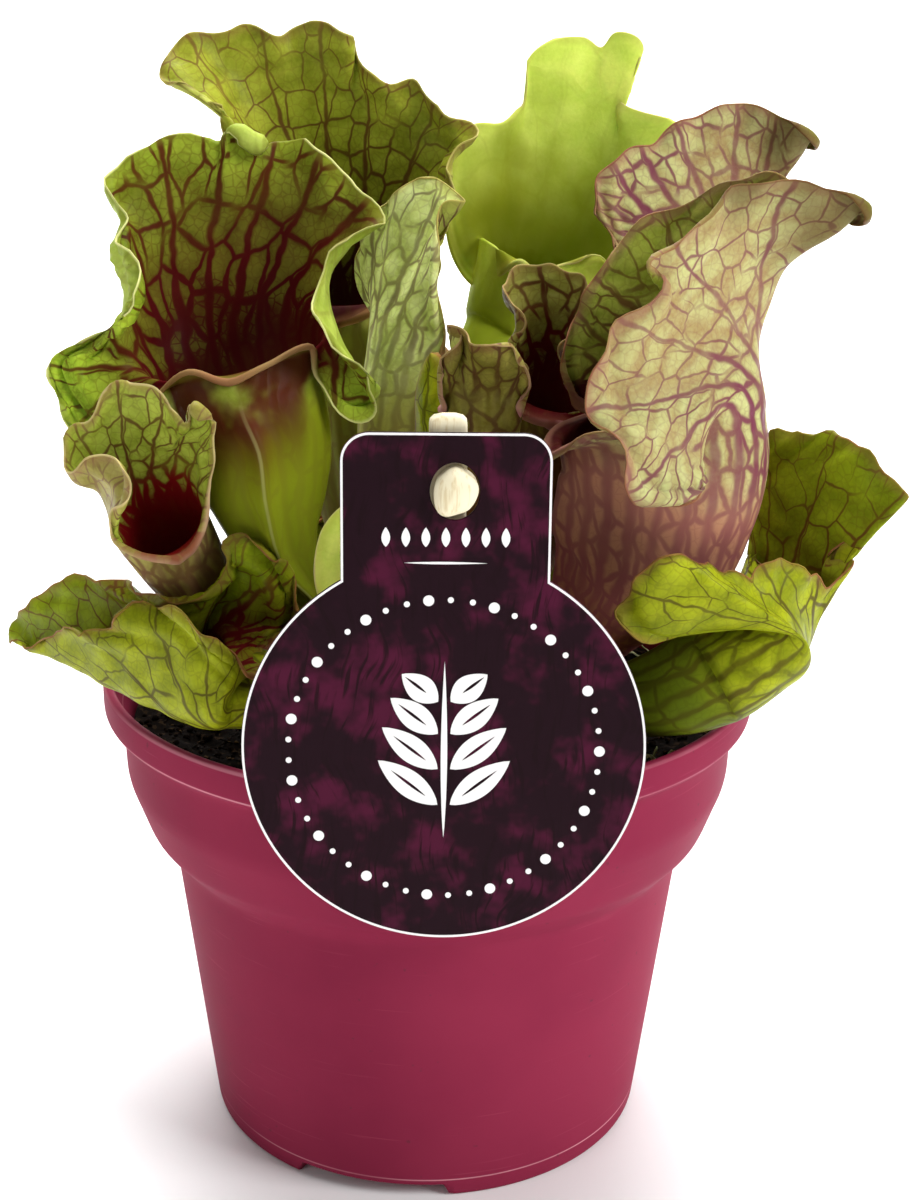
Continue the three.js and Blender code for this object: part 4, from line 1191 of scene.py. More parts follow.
    def measured(self, rows: Array, theta: Array) -> tuple[Array, Array, Array, Array]:
        """Measures the sheet along its lines and round its rings.

        Args:
            rows: Points of the sheet.
            theta: Angle of each growth line.

        Returns:
            Distance from the mouth (less than 0 in the tube), distance from the rim, way round
            from the back, and distance between main veins, all rings by places.
        """
        grown = np.cumsum(np.linalg.norm(np.diff(rows, axis=0), axis=2), 0)
        grown = np.concatenate([np.zeros((1, self.places)), grown])
        steps = np.linalg.norm(np.roll(rows, -1, axis=1) - rows, axis=2)
        across = np.concatenate([np.zeros((len(rows), 1)), np.cumsum(steps, axis=1)], axis=1)
        across = across[:, :-1] - across[:, int(np.argmin(np.abs(theta - np.pi))), None]
        turn_step = (np.roll(theta, -1) - theta) % (2 * np.pi)
        gauge = steps / (self.main_veins * np.maximum(turn_step, 1e-3) / (2 * np.pi))
        along = grown - grown[self.tube_rings - 1].mean()
        return along, grown[-1] - grown, across, np.maximum(gauge, self.least_gauge)

    def waved(self, rows: Array, along: Array, to_rim: Array, across: Array, span: Array) -> Array:
        """Quilts the sheet between the veins, and ruffles and crimps it towards the rim.

        Args:
            rows: Points of the sheet.
            along: Distance from the mouth.
            to_rim: Distance from the rim.
            across: Way round from the back.
            span: Each line's way from the mouth to the rim.

        Returns:
            The moved points.
        """
        awake = 0.1 + 0.9 * smoothstep(-2, 8, along)
        near_rim = smoothstep(8, 0, to_rim) ** 1.5 * smoothstep(3, 10, span)
        beside = np.stack([across, 0.35 * along, 0 * along], axis=-1)
        wave = self.quilting * waves(rows, self.quilt_wave, self.seed) * awake
        wave = wave + self.ruffle * waves(beside, self.ruffle_wave, self.seed + 100) * near_rim
        crimp = self.crimp * waves(beside, self.crimp_wave, self.seed + 200) * near_rim**2
        growth = unit(np.gradient(rows, axis=0))
        return rows + wave[..., None] * grid_normals(rows) + crimp[..., None] * growth

    def roll(self, rows: Array, theta: Array, lip: Array) -> tuple[Array, Array]:
        """Rolls the rim: an arc about a line that lies the roll's radius off the sheet.

        Args:
            rows: Points of the waved sheet.
            theta: Angle of each growth line.
            lip: How much each line ends in the lip.

        Returns:
            The roll's rings, and its length on each line that isn't the lip.
        """
        out = grid_normals(rows)[-1]
        ahead = unit(rows[-1] - rows[-3])
        ahead = unit(ahead - (ahead * out).sum(1, keepdims=True) * out)
        knob = 1 + 0.7 * np.exp(-((wrapped(theta) / 0.1) ** 2))
        curled = smoothstep(0.3, 0.8, waves(rows[-1], 8.0, self.seed + 300)) * (1 - lip)
        radius = self.hood_roll + (self.lip_roll - self.hood_roll) * lip * knob
        radius, turn = radius + 0.2 * curled, 70 + 160 * lip + 110 * curled
        for middle, spread, wide, far in self.curls:
            off = (np.degrees(theta) - middle + 180) % 360 - 180
            here = np.exp(-((off / spread) ** 4))
            radius, turn = radius + (wide - radius) * here, turn + (far - turn) * here
        radius, turn = radius[:, None], np.radians(turn)[:, None]
        arc = np.linspace(0, 1, self.roll_rings + 1)[1:, None, None] * turn
        bent = out * radius * (1 - np.cos(arc)) + ahead * np.abs(radius) * np.sin(arc)
        coiled = 1 - 0.3 * arc / (2 * np.pi)
        return rows[-1] + bent * coiled, (1 - lip) * np.abs(radius * turn)[:, 0]

    def aged(self, rows: Array) -> Array:
        """How brown each point is: 1 in the middle of a worn spot, fading as a bell curve.

        Args:
            rows: Points of the sheet.

        Returns:
            Values of 0 to 1, rings by places.
        """
        brown = np.zeros(rows.shape[:2])
        for *spot, radius in self.worn:
            off = np.linalg.norm(rows - spot, axis=2)
            brown = np.maximum(brown, np.exp(-((off / radius) ** 2)))
        return brown

    def fan_chart(self, theta: Array, along: Array, gauge: Array) -> Array:
        """Chart of the veins.

        Args:
            theta: Angle of each growth line from the keel, in radians, rising from near 0.
            along: Distance from the mouth, rings by places.
            gauge: Distance between main veins, rings by places.

        Returns:
            Number of main veins from the keel, distance from the mouth and gauge, with the first
            place repeated a whole turn on.
        """
        fan = np.append(theta, theta[0] + 2 * np.pi) / (2 * np.pi) * self.main_veins
        shut = [np.concatenate([v, v[:, :1]], axis=1) for v in (along, gauge)]
        return np.stack([np.broadcast_to(fan, shut[0].shape), *shut], axis=-1)

    def middle_sheet(self) -> tuple[Array, Layers]:
        """Works out the sheet midway between the two faces, with its roll.

        Returns:
            Points as rings by places by 3, and what its finish reads at each point: place, share
            of the throat's reach, brown spots and the chart of the veins.
        """
        theta, read = self.growth_lines()
        rows, span = self.plain_sheet(theta, read)
        along, to_rim, across, gauge = self.measured(rows, theta)
        lip = np.exp(-((span / self.lip_reach) ** 2))
        rows = self.waved(rows, along, to_rim, across, span)
        rolled, length = self.roll(rows, theta, lip)
        rows = np.concatenate([rows, rolled])
        left = np.linspace(1, 0, self.roll_rings + 1)[1:, None]
        to_rim = np.concatenate([to_rim + length, left * length])
        along, gauge = (
            np.concatenate([v, np.repeat(v[-1:], self.roll_rings, axis=0)]) for v in (along, gauge)
        )
        # The throat's colour reaches up the front and the back, and less up the sides.
        turned = np.degrees(np.abs(wrapped(theta)))
        middle = smoothstep(62, 36, turned) + smoothstep(85, 150, turned)
        reach = self.throat_reach * (self.throat_side + (1 - self.throat_side) * middle)
        return rows, {
            "place": np.stack([to_rim, along, np.broadcast_to(lip, along.shape)], axis=-1),
            "throat": along / reach,
            "worn": self.aged(rows),
            "net": self.fan_chart(theta, along, gauge),
        }

    def first_hollow(self) -> int:
        """Number of the first ring that is wide enough to be hollow."""
        rings = through_open(np.array(self.spine, float), np.linspace(0, 1, self.tube_rings))
        return max(int(np.argmax(rings[:, 3:].min(axis=1) > self.solid_below)), 2)

    def build(self) -> None:
        """Thickens the sheet both ways into one closed skin and dresses it."""
        rows, held = self.middle_sheet()
        hollow = self.first_hollow()
        place, throat, worn, net = (
            there_and_back(held[key], held[key], hollow)
            for key in ("place", "throat", "worn", "net")
        )
        rim, _, lip = np.moveaxis(held["place"], -1, 0)
        half = 0.5 * self.thickness * (0.55 + 0.45 * np.maximum(smoothstep(0, 1.6, rim), lip))
        half = half[..., None] * grid_normals(rows)
        sides = (np.full(rim.shape, side.value) for side in (Side.OUTER, Side.INNER))
        face = np.stack([there_and_back(*sides, hollow), throat, worn], axis=-1)
        skin = there_and_back(rows + half, rows - half, hollow)
        obj = ring_object(self.name, skin, {"place": place, "face": face}, {"net": net})
        dress(obj, self.finish, self.name.removesuffix("_leaf"))


@dataclass
class Blade:
    """A plain leaf blade: a dished, pointed strip across its spine with a sunk midrib.

    spine rows are x, y, z, half width, and how far the sides rise to the front. round_from is
    where on the spine the tip starts to round off.
    """

    name: str
    finish: LeafFinish
    front: float
    seed: int
    spine: tuple
    thickness: float = 0.42
    gauge: float = 2.4
    rings: int = 60
    places: int = 40
    round_from: float = 0.84

    def length(self) -> float:
        """Length of the blade's spine."""
        spine = np.array(self.spine, float)[:, :3]
        return float(np.linalg.norm(np.diff(spine, axis=0), axis=1).sum())

    def section(self, t: Array, u: Array, angle: Array) -> tuple[Array, Array]:
        """Points of the blade, a thin lens with a dish and a midrib carried along the spine.

        Args:
            t: Places on the spine, 0 to 1.
            u: Places across, -1 to 1.
            angle: The angles round the lens that u is the sine of.

        Returns:
            Points, rings by places by 3, and the half width of each ring.
        """
        table = np.array(self.spine, float)
        row = through_open(table, t)
        tangent = unit((through_open(table, t + 1e-3) - through_open(table, t - 1e-3))[:, :3])
        front = bearing(self.front)
        out = unit(front - (tangent @ front)[:, None] * tangent)
        side = np.cross(tangent, out)
        tip = np.clip((t - self.round_from) / (1 - self.round_from), 0, 1)
        width = row[:, 3] * np.sqrt(np.clip(1 - tip**2, 0.02, 1))
        swell = np.cos(angle) * self.thickness * (0.5 + 0.4 * np.exp(-((u / 0.18) ** 2)))
        dish = row[:, 4, None] * u**2 + 0.25 * np.exp(-((u / 0.12) ** 2))
        rows = (
            row[:, None, :3]
            + (width[:, None] * u)[..., None] * side[:, None]
            + (dish + swell)[..., None] * out[:, None]
        )
        return rows + 0.3 * waves(rows, 7.0, self.seed)[..., None] * out[:, None], width

    def build(self) -> None:
        """Builds the blade's skin with what its finish reads, and dresses it."""
        t = np.linspace(0, 1, self.rings)
        angle = whole_turn(self.places)
        u = np.sin(angle)
        rows, width = self.section(t, u, angle)
        even = np.ones(rows.shape[:2])
        to_rim = width[:, None] * (1 - np.abs(u))
        place = np.stack([to_rim, 25 * even, 0 * even], axis=-1)
        face = np.stack([(np.cos(angle) > 0) * even, 9 * even, 0 * even], axis=-1)
        shape = (self.rings, self.places + 1)
        over = np.append(width[:, None] * u, width[:, None] * u[:1], axis=1) / self.gauge
        up = np.broadcast_to(t[:, None] * self.length(), shape)
        net = np.stack([over + 20, up, np.full(shape, self.gauge)], axis=-1)
        obj = ring_object(self.name, rows, {"place": place, "face": face}, {"net": net})
        dress(obj, self.finish, self.name.removesuffix("_blade"))


PITCHERS = (
    Pitcher(
        "pitcher_front_left_leaf", RED_NET_LEAF,
        places=176, front=5, tilt=27, keel=3, seed=11, lip_roll=0.27,
        throat_reach=17, main_veins=22, curls=((188, 5, -1.5, 290), (202, 3, 0.8, 200)),
        spine=(
            (-6, -6.5, 60.5, 2.2, 2.2), (-14, -13, 78, 2.4, 2.6), (-18.5, -16, 86, 4.6, 4.6),
            (-20.2, -16, 93.5, 7.5, 7), (-21, -15, 99.5, 8.7, 7.8), (-23, -13, 104.5, 10, 8.4),
            (-24, -11, 108.4, 11, 9),
        ),
        edge=(
            (0, -24, -20.9, 108.3), (30, -19.5, -19.6, 110), (58, -14.5, -16, 111.5),
            (74, -13.5, -17, 107.5), (88, -9.5, -19, 103.5, 1), (98, -6.5, -18, 105, 1),
            (108, -12, -22, 113.5, 3), (118, -14, -21, 117.5, 4), (130, -12, -14, 122.5, 3),
            (142, -6.5, -6, 126, 1), (155, -10.5, -2, 130), (166, -14.5, 0, 133.5),
            (176, -18.5, 2, 134), (186, -22, 1, 133), (193, -25.5, -1, 135.5),
            (201, -26.5, 1, 133), (212, -33.5, 0, 134), (222, -40, -4, 130),
            (231, -37, -8, 126, 2), (240, -38.5, -11, 123.5, 2), (250, -34.5, -17, 119, 5),
            (259, -37, -16, 115, 4), (268, -42, -12, 111, 1), (277, -47, -12, 108.5),
            (287, -46, -13, 103.5), (300, -42.5, -15, 99.5), (315, -34.5, -17, 104.5),
            (335, -29, -19.8, 109),
        ),
    ),
    Pitcher(
        "pitcher_back_left_leaf", OLIVE_LEAF,
        places=176, front=0, tilt=14, keel=1.5, main_veins=20, seed=12,
        spine=(
            (-8, 1, 60.4, 2.2, 2.2), (-10, 6.5, 77, 3, 3), (-11.5, 10, 89, 5, 5),
            (-12.5, 14, 99, 7.2, 7), (-13, 17, 111.5, 9, 8),
        ),
        edge=(
            (0, -13, 7, 110), (40, -7.5, 9, 112), (75, -1.5, 11, 117.5), (95, 2, 8, 123, 1),
            (110, 2.5, 10, 128), (122, 2.5, 12, 132), (132, 5, 14, 134.5), (142, 1, 16, 137, 1),
            (150, -3, 18, 139.5), (158, -7, 20, 140), (166, -10.5, 22, 144.5), (173, -11, 20, 146),
            (180, -15.5, 22, 147.5), (187, -18, 23, 146.5), (194, -21, 22, 145.5),
            (202, -25.5, 22, 147), (210, -29.5, 21, 145.5), (217, -33.5, 20, 145, -8),
            (224, -36, 17, 141, -16), (233, -33.5, 14, 140, -15), (243, -29, 14, 138, -10),
            (255, -27, 12, 131.5, -3), (270, -27.5, 10, 125), (290, -25.5, 6, 118),
            (325, -19, 4, 112),
        ),
    ),
    Pitcher(
        "pitcher_mid_left_leaf", PURPLE_VEINED_LEAF,
        front=120, tilt=6, keel=1, seed=13,
        spine=(
            (-1, -2.5, 61, 2, 2), (-4, -3, 79.5, 2.6, 2.6), (-4.5, -2.5, 90.5, 4, 4),
            (-4.5, -1.5, 98, 4.8, 4.8), (-3, 0, 107, 5.4, 5.2),
        ),
        edge=(
            (0, 2, 3, 106.5), (40, 0, 7, 108), (80, -5, 8, 109.5), (100, -8, 7, 113),
            (120, -9.5, 7, 119), (140, -8.5, 6, 124.5), (155, -5.5, 7, 125.5), (166, -5, 4, 127.5),
            (178, -2, 2, 129), (190, 1, 2, 129), (200, 3.5, 0, 127, -1), (212, 1, -2, 126.5),
            (228, 1, -4, 122, 1), (246, 1, -5, 116.5, 1), (265, 1.5, -5, 111),
            (290, 1.5, -4, 106.5), (325, 2.5, 2, 105.5),
        ),
    ),
    Pitcher(
        "pitcher_centre_small_leaf", DARK_NET_LEAF,
        front=180, tilt=4, keel=0.8, seed=14, throat_reach=3.2,
        spine=(
            (3, -10, 59.6, 2, 2), (5, -21, 86, 2.4, 2.4), (6, -22, 96.5, 3.6, 3.4),
            (6.5, -20, 104.5, 4.4, 4),
        ),
        edge=(
            (0, 6.5, -14, 103.5), (45, 3.5, -16, 104.5), (85, 1.5, -21, 105.5), (110, 1, -24, 110),
            (135, 2.5, -25, 113.5), (148, 2, -24, 115.5), (163, 4, -27, 114.5),
            (182, 6.5, -28, 114.5), (203, 9, -28, 113.5), (223, 11, -26, 111),
            (243, 11.5, -24, 108.5), (262, 11, -22, 105), (290, 10, -19, 103),
            (328, 9, -15, 103.5),
        ),
    ),
    Pitcher(
        "pitcher_centre_curled_leaf", DARK_NET_LEAF,
        front=-5, tilt=10, keel=1, seed=15,
        spine=(
            (7, -3.5, 60.8, 2, 2), (13.5, -4, 81, 3, 3), (15, -3, 92.5, 4.4, 4.4),
            (16, -3.5, 102.5, 5, 5),
        ),
        edge=(
            (0, 15.5, -10, 101), (35, 20, -7, 100), (65, 21.5, -5, 102.5), (95, 19.5, -5.2, 107),
            (120, 16, -7.4, 108, 1), (136, 16, -8.2, 111, 1), (150, 18, -7.3, 113.5, 1),
            (162, 19, -5.8, 116.5, 1), (172, 18.5, -5, 118.5), (182, 16, -4, 119.5),
            (192, 13.5, -4, 119.5), (202, 11, -5, 118.5), (212, 9, -7, 117),
            (222, 11, -10, 115.5, 1), (233, 11.5, -11, 113.5, 1), (245, 10, -10, 111, 1),
            (260, 12, -10, 107.5, 1), (282, 10.5, -8, 104), (306, 11, -9, 102.5),
            (333, 13, -10, 101.5),
        ),
    ),
    Pitcher(
        "pitcher_back_centre_leaf", LIME_LEAF,
        places=176, front=0, tilt=-2, keel=1, seed=16, ruffle=0.5,
        crimp=0.2, lip_roll=0.34, throat_reach=12,
        spine=(
            (5, 4.5, 60.4, 2, 2), (5.5, 12, 88.5, 3, 3), (7.5, 17, 101.5, 4.2, 4.2),
            (10.5, 20, 106, 6.4, 5.4), (15.2, 21, 113.5, 10, 7),
        ),
        edge=(
            (0, 14.5, 13, 116), (30, 18.5, 14, 117), (58, 23, 16, 117.5), (78, 26, 17, 113.5),
            (95, 28.5, 18, 117, 1), (113, 31.5, 20, 125), (128, 35.5, 24, 131),
            (140, 33, 28, 134.5), (150, 27, 31, 136.5), (156, 27, 32, 139), (162, 29.5, 32, 143),
            (169, 28.5, 32, 145.5), (175, 25.5, 33, 146), (181, 23.5, 33, 144),
            (188, 21, 33, 145.5), (196, 16.5, 32, 145), (203, 13.5, 31, 142), (210, 13, 29, 137),
            (218, 9.5, 27, 134), (227, 5.5, 24, 134), (237, 2.5, 22, 128.5), (248, 2, 21, 122.5),
            (260, 3.4, 20.5, 116.5), (275, 6, 19.5, 113), (292, 8.2, 17, 114),
            (312, 10, 14.6, 116.2), (338, 12, 13, 117.5),
        ),
    ),
    Pitcher(
        "pitcher_back_right_leaf", MAUVE_VEINED_LEAF,
        front=210, tilt=10, keel=1, main_veins=24, seed=17,
        curls=((204, 6, 0.9, 210),), worn=((50, 17, 133, 9),),
        spine=(
            (14, 1.5, 59.8, 2, 2), (22.5, 10, 76, 3, 3), (27.5, 14, 88, 5, 5),
            (32.5, 17, 101, 7, 6.5), (36, 19, 112.5, 8, 7),
        ),
        edge=(
            (0, 35.5, 27, 112), (40, 31, 23, 112), (70, 27.5, 16, 115), (95, 24, 10, 121, 1),
            (112, 21.5, 8, 125.5), (128, 21.5, 8, 129), (142, 25, 10, 132), (155, 28.5, 12, 133.5),
            (166, 32.5, 14, 135.5), (176, 39, 16, 137), (186, 42.5, 17, 137.5),
            (196, 46.5, 17, 136), (204, 50, 17, 133, -1), (212, 47.5, 18, 131.5),
            (225, 46, 20, 128.5), (245, 45, 22, 122.5), (270, 44, 25, 116.5),
            (312, 40.5, 28, 112.5),
        ),
    ),
    Pitcher(
        "pitcher_front_right_leaf", MAUVE_VEINED_LEAF,
        places=176, front=280, tilt=6, keel=1.5, main_veins=24, seed=18,
        curls=((193, 7, 1.0, 210),),
        worn=((50, -17, 128, 11), (36, -24, 133, 6), (33, -8, 131, 7)),
        spine=(
            (11, -3.5, 60.5, 2.2, 2.2), (19, -11, 70, 3.6, 3.8), (23, -13, 77.5, 6.8, 7.2),
            (27, -15, 85, 9.2, 11), (28.5, -16.5, 92, 9.6, 12.2), (29, -16.5, 97.5, 9.6, 12.8),
            (28.5, -16, 102, 9.6, 12.9),
        ),
        edge=(
            (0, 14, -19, 99), (32, 15.5, -26, 101.5), (56, 20, -30, 104.5), (74, 25.5, -31, 104),
            (90, 30.5, -30, 103, 1), (101, 30.5, -33, 98.5, 3), (110, 28, -35, 97, 4),
            (119, 22.5, -36, 98.5, 4), (127, 21, -36, 105, 3), (135, 18, -34, 108, 1),
            (142, 18, -33, 111.5), (149, 21, -31, 117), (155, 25.5, -29, 121),
            (161, 24, -29, 123.5), (167, 29.5, -26, 127, -2), (173, 35, -23, 131.5, -3),
            (180, 41.5, -20, 132, -5), (187, 48.5, -18, 130.5, -5), (193, 50.5, -17, 127.5, -5),
            (200, 46, -13, 129.5, -4), (207, 40.5, -10, 131.5, -2), (214, 35.5, -8, 130),
            (222, 30, -7, 127.5), (230, 25.5, -7, 125), (238, 21, -8, 120), (246, 19, -9, 117),
            (254, 18.5, -9, 114.5), (263, 16, -10, 109.5), (272, 17, -11, 105),
            (288, 20, -11, 102.5), (312, 21, -9, 102), (338, 15.5, -12, 100.5),
        ),
    ),
    Pitcher(
        "pitcher_low_right_leaf", THIN_VEINED_LEAF,
        front=275, front_elevation=55, tilt=0, keel=0.6, crimp=0.9, ruffle=0.8, seed=19,
        spine=(
            (13.5, -9, 59.8, 2.2, 2.2), (28, -24, 69.5, 5, 5), (34.7, -24.2, 72.5, 7.4, 6.4),
            (41.1, -21.9, 76.5, 8.5, 6.3),
        ),
        edge=(
            (0, 42.4, -13.3, 82), (30, 40, -21.3, 82.5), (52, 33.5, -28, 81), (70, 28, -31, 80),
            (81, 24, -34, 81), (90, 22.5, -35, 84.5, 1), (99, 24, -35, 88.5, 2),
            (108, 27.5, -35, 91, 2), (118, 30.5, -34, 90.5, 2), (128, 34.5, -32, 88.5, 2),
            (137, 38, -30, 87, 2), (146, 40.5, -28, 88, 1), (155, 43, -26, 88, 1),
            (164, 46, -24, 85.5, 1), (172, 49, -22, 83.5), (180, 52.5, -20, 85),
            (188, 50, -17, 86), (197, 53, -18, 87.5), (206, 55.5, -20, 90.5),
            (214, 57.5, -22, 94.5), (222, 56, -20, 96.5), (231, 53, -17, 99),
            (241, 50.5, -13, 100), (253, 46.5, -8, 99), (267, 43.5, -5, 97), (285, 42.5, -3, 91.5),
            (308, 43.5, -4, 85.5), (335, 42.5, -8, 83),
        ),
    ),
    Pitcher(
        "pitcher_low_left_leaf", THIN_VEINED_LEAF,
        front=80, front_elevation=65, tilt=0, keel=0.6, seed=20,
        spine=(
            (-12.3, -9.5, 59.2, 2.1, 2.1), (-16.2, -22, 69, 4.4, 3), (-20.5, -26, 71, 6.4, 4),
            (-25, -27, 72, 7.6, 4.4),
        ),
        edge=(
            (0, -20.5, -25, 76), (25, -16.5, -20, 77.5), (40, -16.5, -24, 83),
            (54, -18.5, -25.3, 87.5), (68, -21, -25.2, 89), (82, -23.5, -25, 89),
            (96, -24.5, -25, 86), (109, -27.5, -26, 83.5), (122, -32, -26, 82.5),
            (135, -35.5, -22, 82), (146, -40.5, -16, 81.5), (156, -45.5, -11, 80),
            (165, -51, -8, 76.5), (174, -56, -4, 71, 1), (182, -54.5, -7, 69, 2),
            (192, -49.5, -13, 72, 2), (204, -45.5, -18, 76, 2), (216, -41.5, -22, 76.5, 1),
            (228, -37, -26, 80, 1), (240, -33, -29, 82.5, 1), (252, -29.5, -32, 83, 1),
            (266, -26, -34, 81, 1), (280, -23, -34, 78.5, 1), (298, -22, -33, 75.5),
            (328, -20.5, -29, 75),
        ),
    ),
    Pitcher(
        "pitcher_small_left_leaf", MOTTLED_LEAF,
        front=10, tilt=8, keel=1, seed=21,
        throat_reach=3.6, curls=((133, 8, -0.9, 280),),
        spine=(
            (-13, -4, 60, 2, 2), (-27, -14.5, 76, 3, 3), (-30, -18, 83.5, 4.8, 4.4),
            (-32.5, -20.5, 89.5, 5.6, 5.2),
        ),
        edge=(
            (0, -30, -28, 88.5), (35, -28, -27, 90), (65, -27, -25, 92.5), (90, -26.5, -24, 97),
            (110, -26, -25, 101.5), (126, -25.5, -26, 105, 1), (138, -27, -26, 107),
            (148, -28.5, -25, 106), (157, -29, -25, 103.5), (167, -31.5, -24, 106.5),
            (177, -33.5, -23, 107.5), (187, -36, -22, 107.5), (198, -39, -21, 106.5),
            (209, -41, -21, 103.5), (219, -43, -21, 101.5), (229, -43.5, -22, 97.5),
            (240, -40.5, -25, 99.5), (250, -38, -27, 100), (260, -36, -29, 100),
            (270, -35, -30, 98.5, 1), (281, -36, -30, 96, 1), (292, -37, -29, 94),
            (306, -37.5, -28, 91), (322, -35.5, -28, 89.5), (340, -33, -28, 88.5),
        ),
    ),
    Pitcher(
        "pitcher_rear_left_leaf", THIN_VEINED_LEAF,
        front=-40, front_elevation=50, tilt=0, keel=0.6, seed=22,
        spine=(
            (-8, 7, 59.8, 2.2, 2.2), (-14, 15, 66.5, 4.6, 4), (-19, 22, 76, 6, 5.4),
        ),
        edge=(
            (0, -14, 17, 80), (45, -12, 21, 81), (85, -10, 27, 80), (110, -9, 33, 84),
            (135, -13, 38, 90, 1), (155, -19, 40, 94), (180, -25, 37, 96, 1), (205, -30, 33, 93),
            (228, -31, 27, 88, 1), (252, -28, 20, 83), (280, -24, 17, 79), (320, -18, 16, 79),
        ),
    ),
    Pitcher(
        "pitcher_rear_leaf", OLIVE_LEAF,
        front=0, front_elevation=45, tilt=0, keel=0.6, main_veins=20, seed=23,
        spine=(
            (0, 6.5, 60.5, 2.2, 2.2), (2, 20, 66.5, 5, 4.2), (3, 31, 75, 6.6, 5.6),
        ),
        edge=(
            (0, 3, 25, 80), (45, 8, 28, 80), (85, 14, 33, 80), (110, 16, 39, 84, 1),
            (135, 14, 44, 90), (158, 8, 47, 95, 1), (180, 3, 48, 93), (203, -2, 47, 96, 1),
            (226, -8, 44, 90), (252, -10, 38, 84, 1), (278, -8, 32, 80), (318, -2, 27, 80),
        ),
    ),
    Pitcher(
        "pitcher_rear_right_leaf", THIN_VEINED_LEAF,
        front=35, front_elevation=50, tilt=0, keel=0.6, seed=24,
        spine=(
            (11, 5, 60.3, 2.2, 2.2), (20, 16, 66.5, 4.6, 4), (26, 25, 77, 6.2, 5.4),
        ),
        edge=(
            (0, 21, 19, 81), (45, 27, 18, 81), (82, 33, 21, 82), (108, 37, 26, 86, 1),
            (134, 38, 32, 91), (158, 35, 38, 95, 1), (180, 30, 42, 98), (204, 24, 41, 94, 1),
            (228, 19, 38, 90), (254, 17, 32, 85, 1), (282, 17, 26, 81), (322, 18, 21, 81),
        ),
    ),
)

BLADES = (
    Blade(
        "leaf_centre_blade", THIN_VEINED_LEAF,
        front=150, seed=31,
        spine=(
            (1.5, -6.8, 60.8, 1.6, 0.3), (-1, -13, 84, 2, 0.6), (-0.5, -15, 98, 2.8, 1.4),
            (0, -15, 110.5, 2.2, 1),
        ),
    ),
    Blade(
        "leaf_left_blade", LIME_LEAF,
        front=0, seed=32,
        spine=(
            (-0.5, -10.5, 60.5, 1.6, 0.3), (-5, -21, 73, 2.6, 0.6), (-8.5, -29, 86, 5, 0.8),
            (-8, -31.5, 97, 3.4, 0.4),
        ),
    ),
    Blade(
        "leaf_dry_blade", DRY_LEAF,
        front=20, seed=33,
        spine=(
            (-6, -12, 59.6, 1.4, 0.3), (-8.5, -27, 70, 1.8, 0.5), (-12, -33, 79, 2.8, 1),
            (-12, -34, 84.5, 1.8, 0.6),
        ),
    ),
    Blade(
        "leaf_right_blade", LIME_LEAF,
        front=0, seed=34,
        spine=(
            (8, -9.5, 60.6, 1.5, 0.3), (14, -27, 67, 2.2, 0.5), (19, -36, 72, 3.2, 0.6),
            (20.5, -38, 76.5, 1.8, 0.3),
        ),
    ),
)


# ---------------------------------------------------------------- pot and what it holds


def lathe_rows(profile: Array, places: int) -> Array:
    """Turns a profile about the z axis.

    Args:
        profile: Rows of radius and height.
        places: How many points a ring has.

    Returns:
        Points, rings by places by 3.
    """
    angle = whole_turn(places)
    flat = profile[:, None, :1] * np.stack([np.cos(angle), np.sin(angle)], axis=-1)
    height = np.broadcast_to(profile[:, None, 1:], flat.shape[:2] + (1,))
    return np.concatenate([flat, height], 2)


def ball_rows(limit_deg: float, rings: int, places: int) -> Array:
    """Unit ball as rings about z, open above and below a latitude.

    Args:
        limit_deg: Latitude of the first and last ring.
        rings: How many rings there are.
        places: How many points a ring has.

    Returns:
        Points, rings by places by 3.
    """
    lat = np.radians(np.linspace(-limit_deg, limit_deg, rings))[:, None]
    lon = whole_turn(places)
    flat = np.cos(lat) * np.cos(lon), np.cos(lat) * np.sin(lon)
    return np.stack([*flat, np.sin(lat) + 0 * lon], -1)


def filleted(corners: tuple, radius: float, steps: int = 5) -> Array:
    """Rounds the corners of an open profile.

    Each inner corner becomes a quadratic Bezier that starts and ends at most radius away from it
    and never past the middle of the next side.

    Args:
        corners: Rows of radius and height.
        radius: How far from a corner its curve starts.
        steps: Points on each curve.

    Returns:
        The rounded profile.
    """
    p = np.array(corners, float)
    before, here, after = p[:-2], p[1:-1], p[2:]
    back, ahead = before - here, after - here
    near = np.minimum(radius, 0.45 * np.linalg.norm(back, axis=1))[:, None]
    far = np.minimum(radius, 0.45 * np.linalg.norm(ahead, axis=1))[:, None]
    start, end = here + unit(back) * near, here + unit(ahead) * far
    f = np.linspace(0, 1, steps)[None, :, None]
    curve = (1 - f) ** 2 * start[:, None] + 2 * f * (1 - f) * here[:, None] + f**2 * end[:, None]
    return np.vstack([p[:1], curve.reshape(-1, 2), p[-1:]])


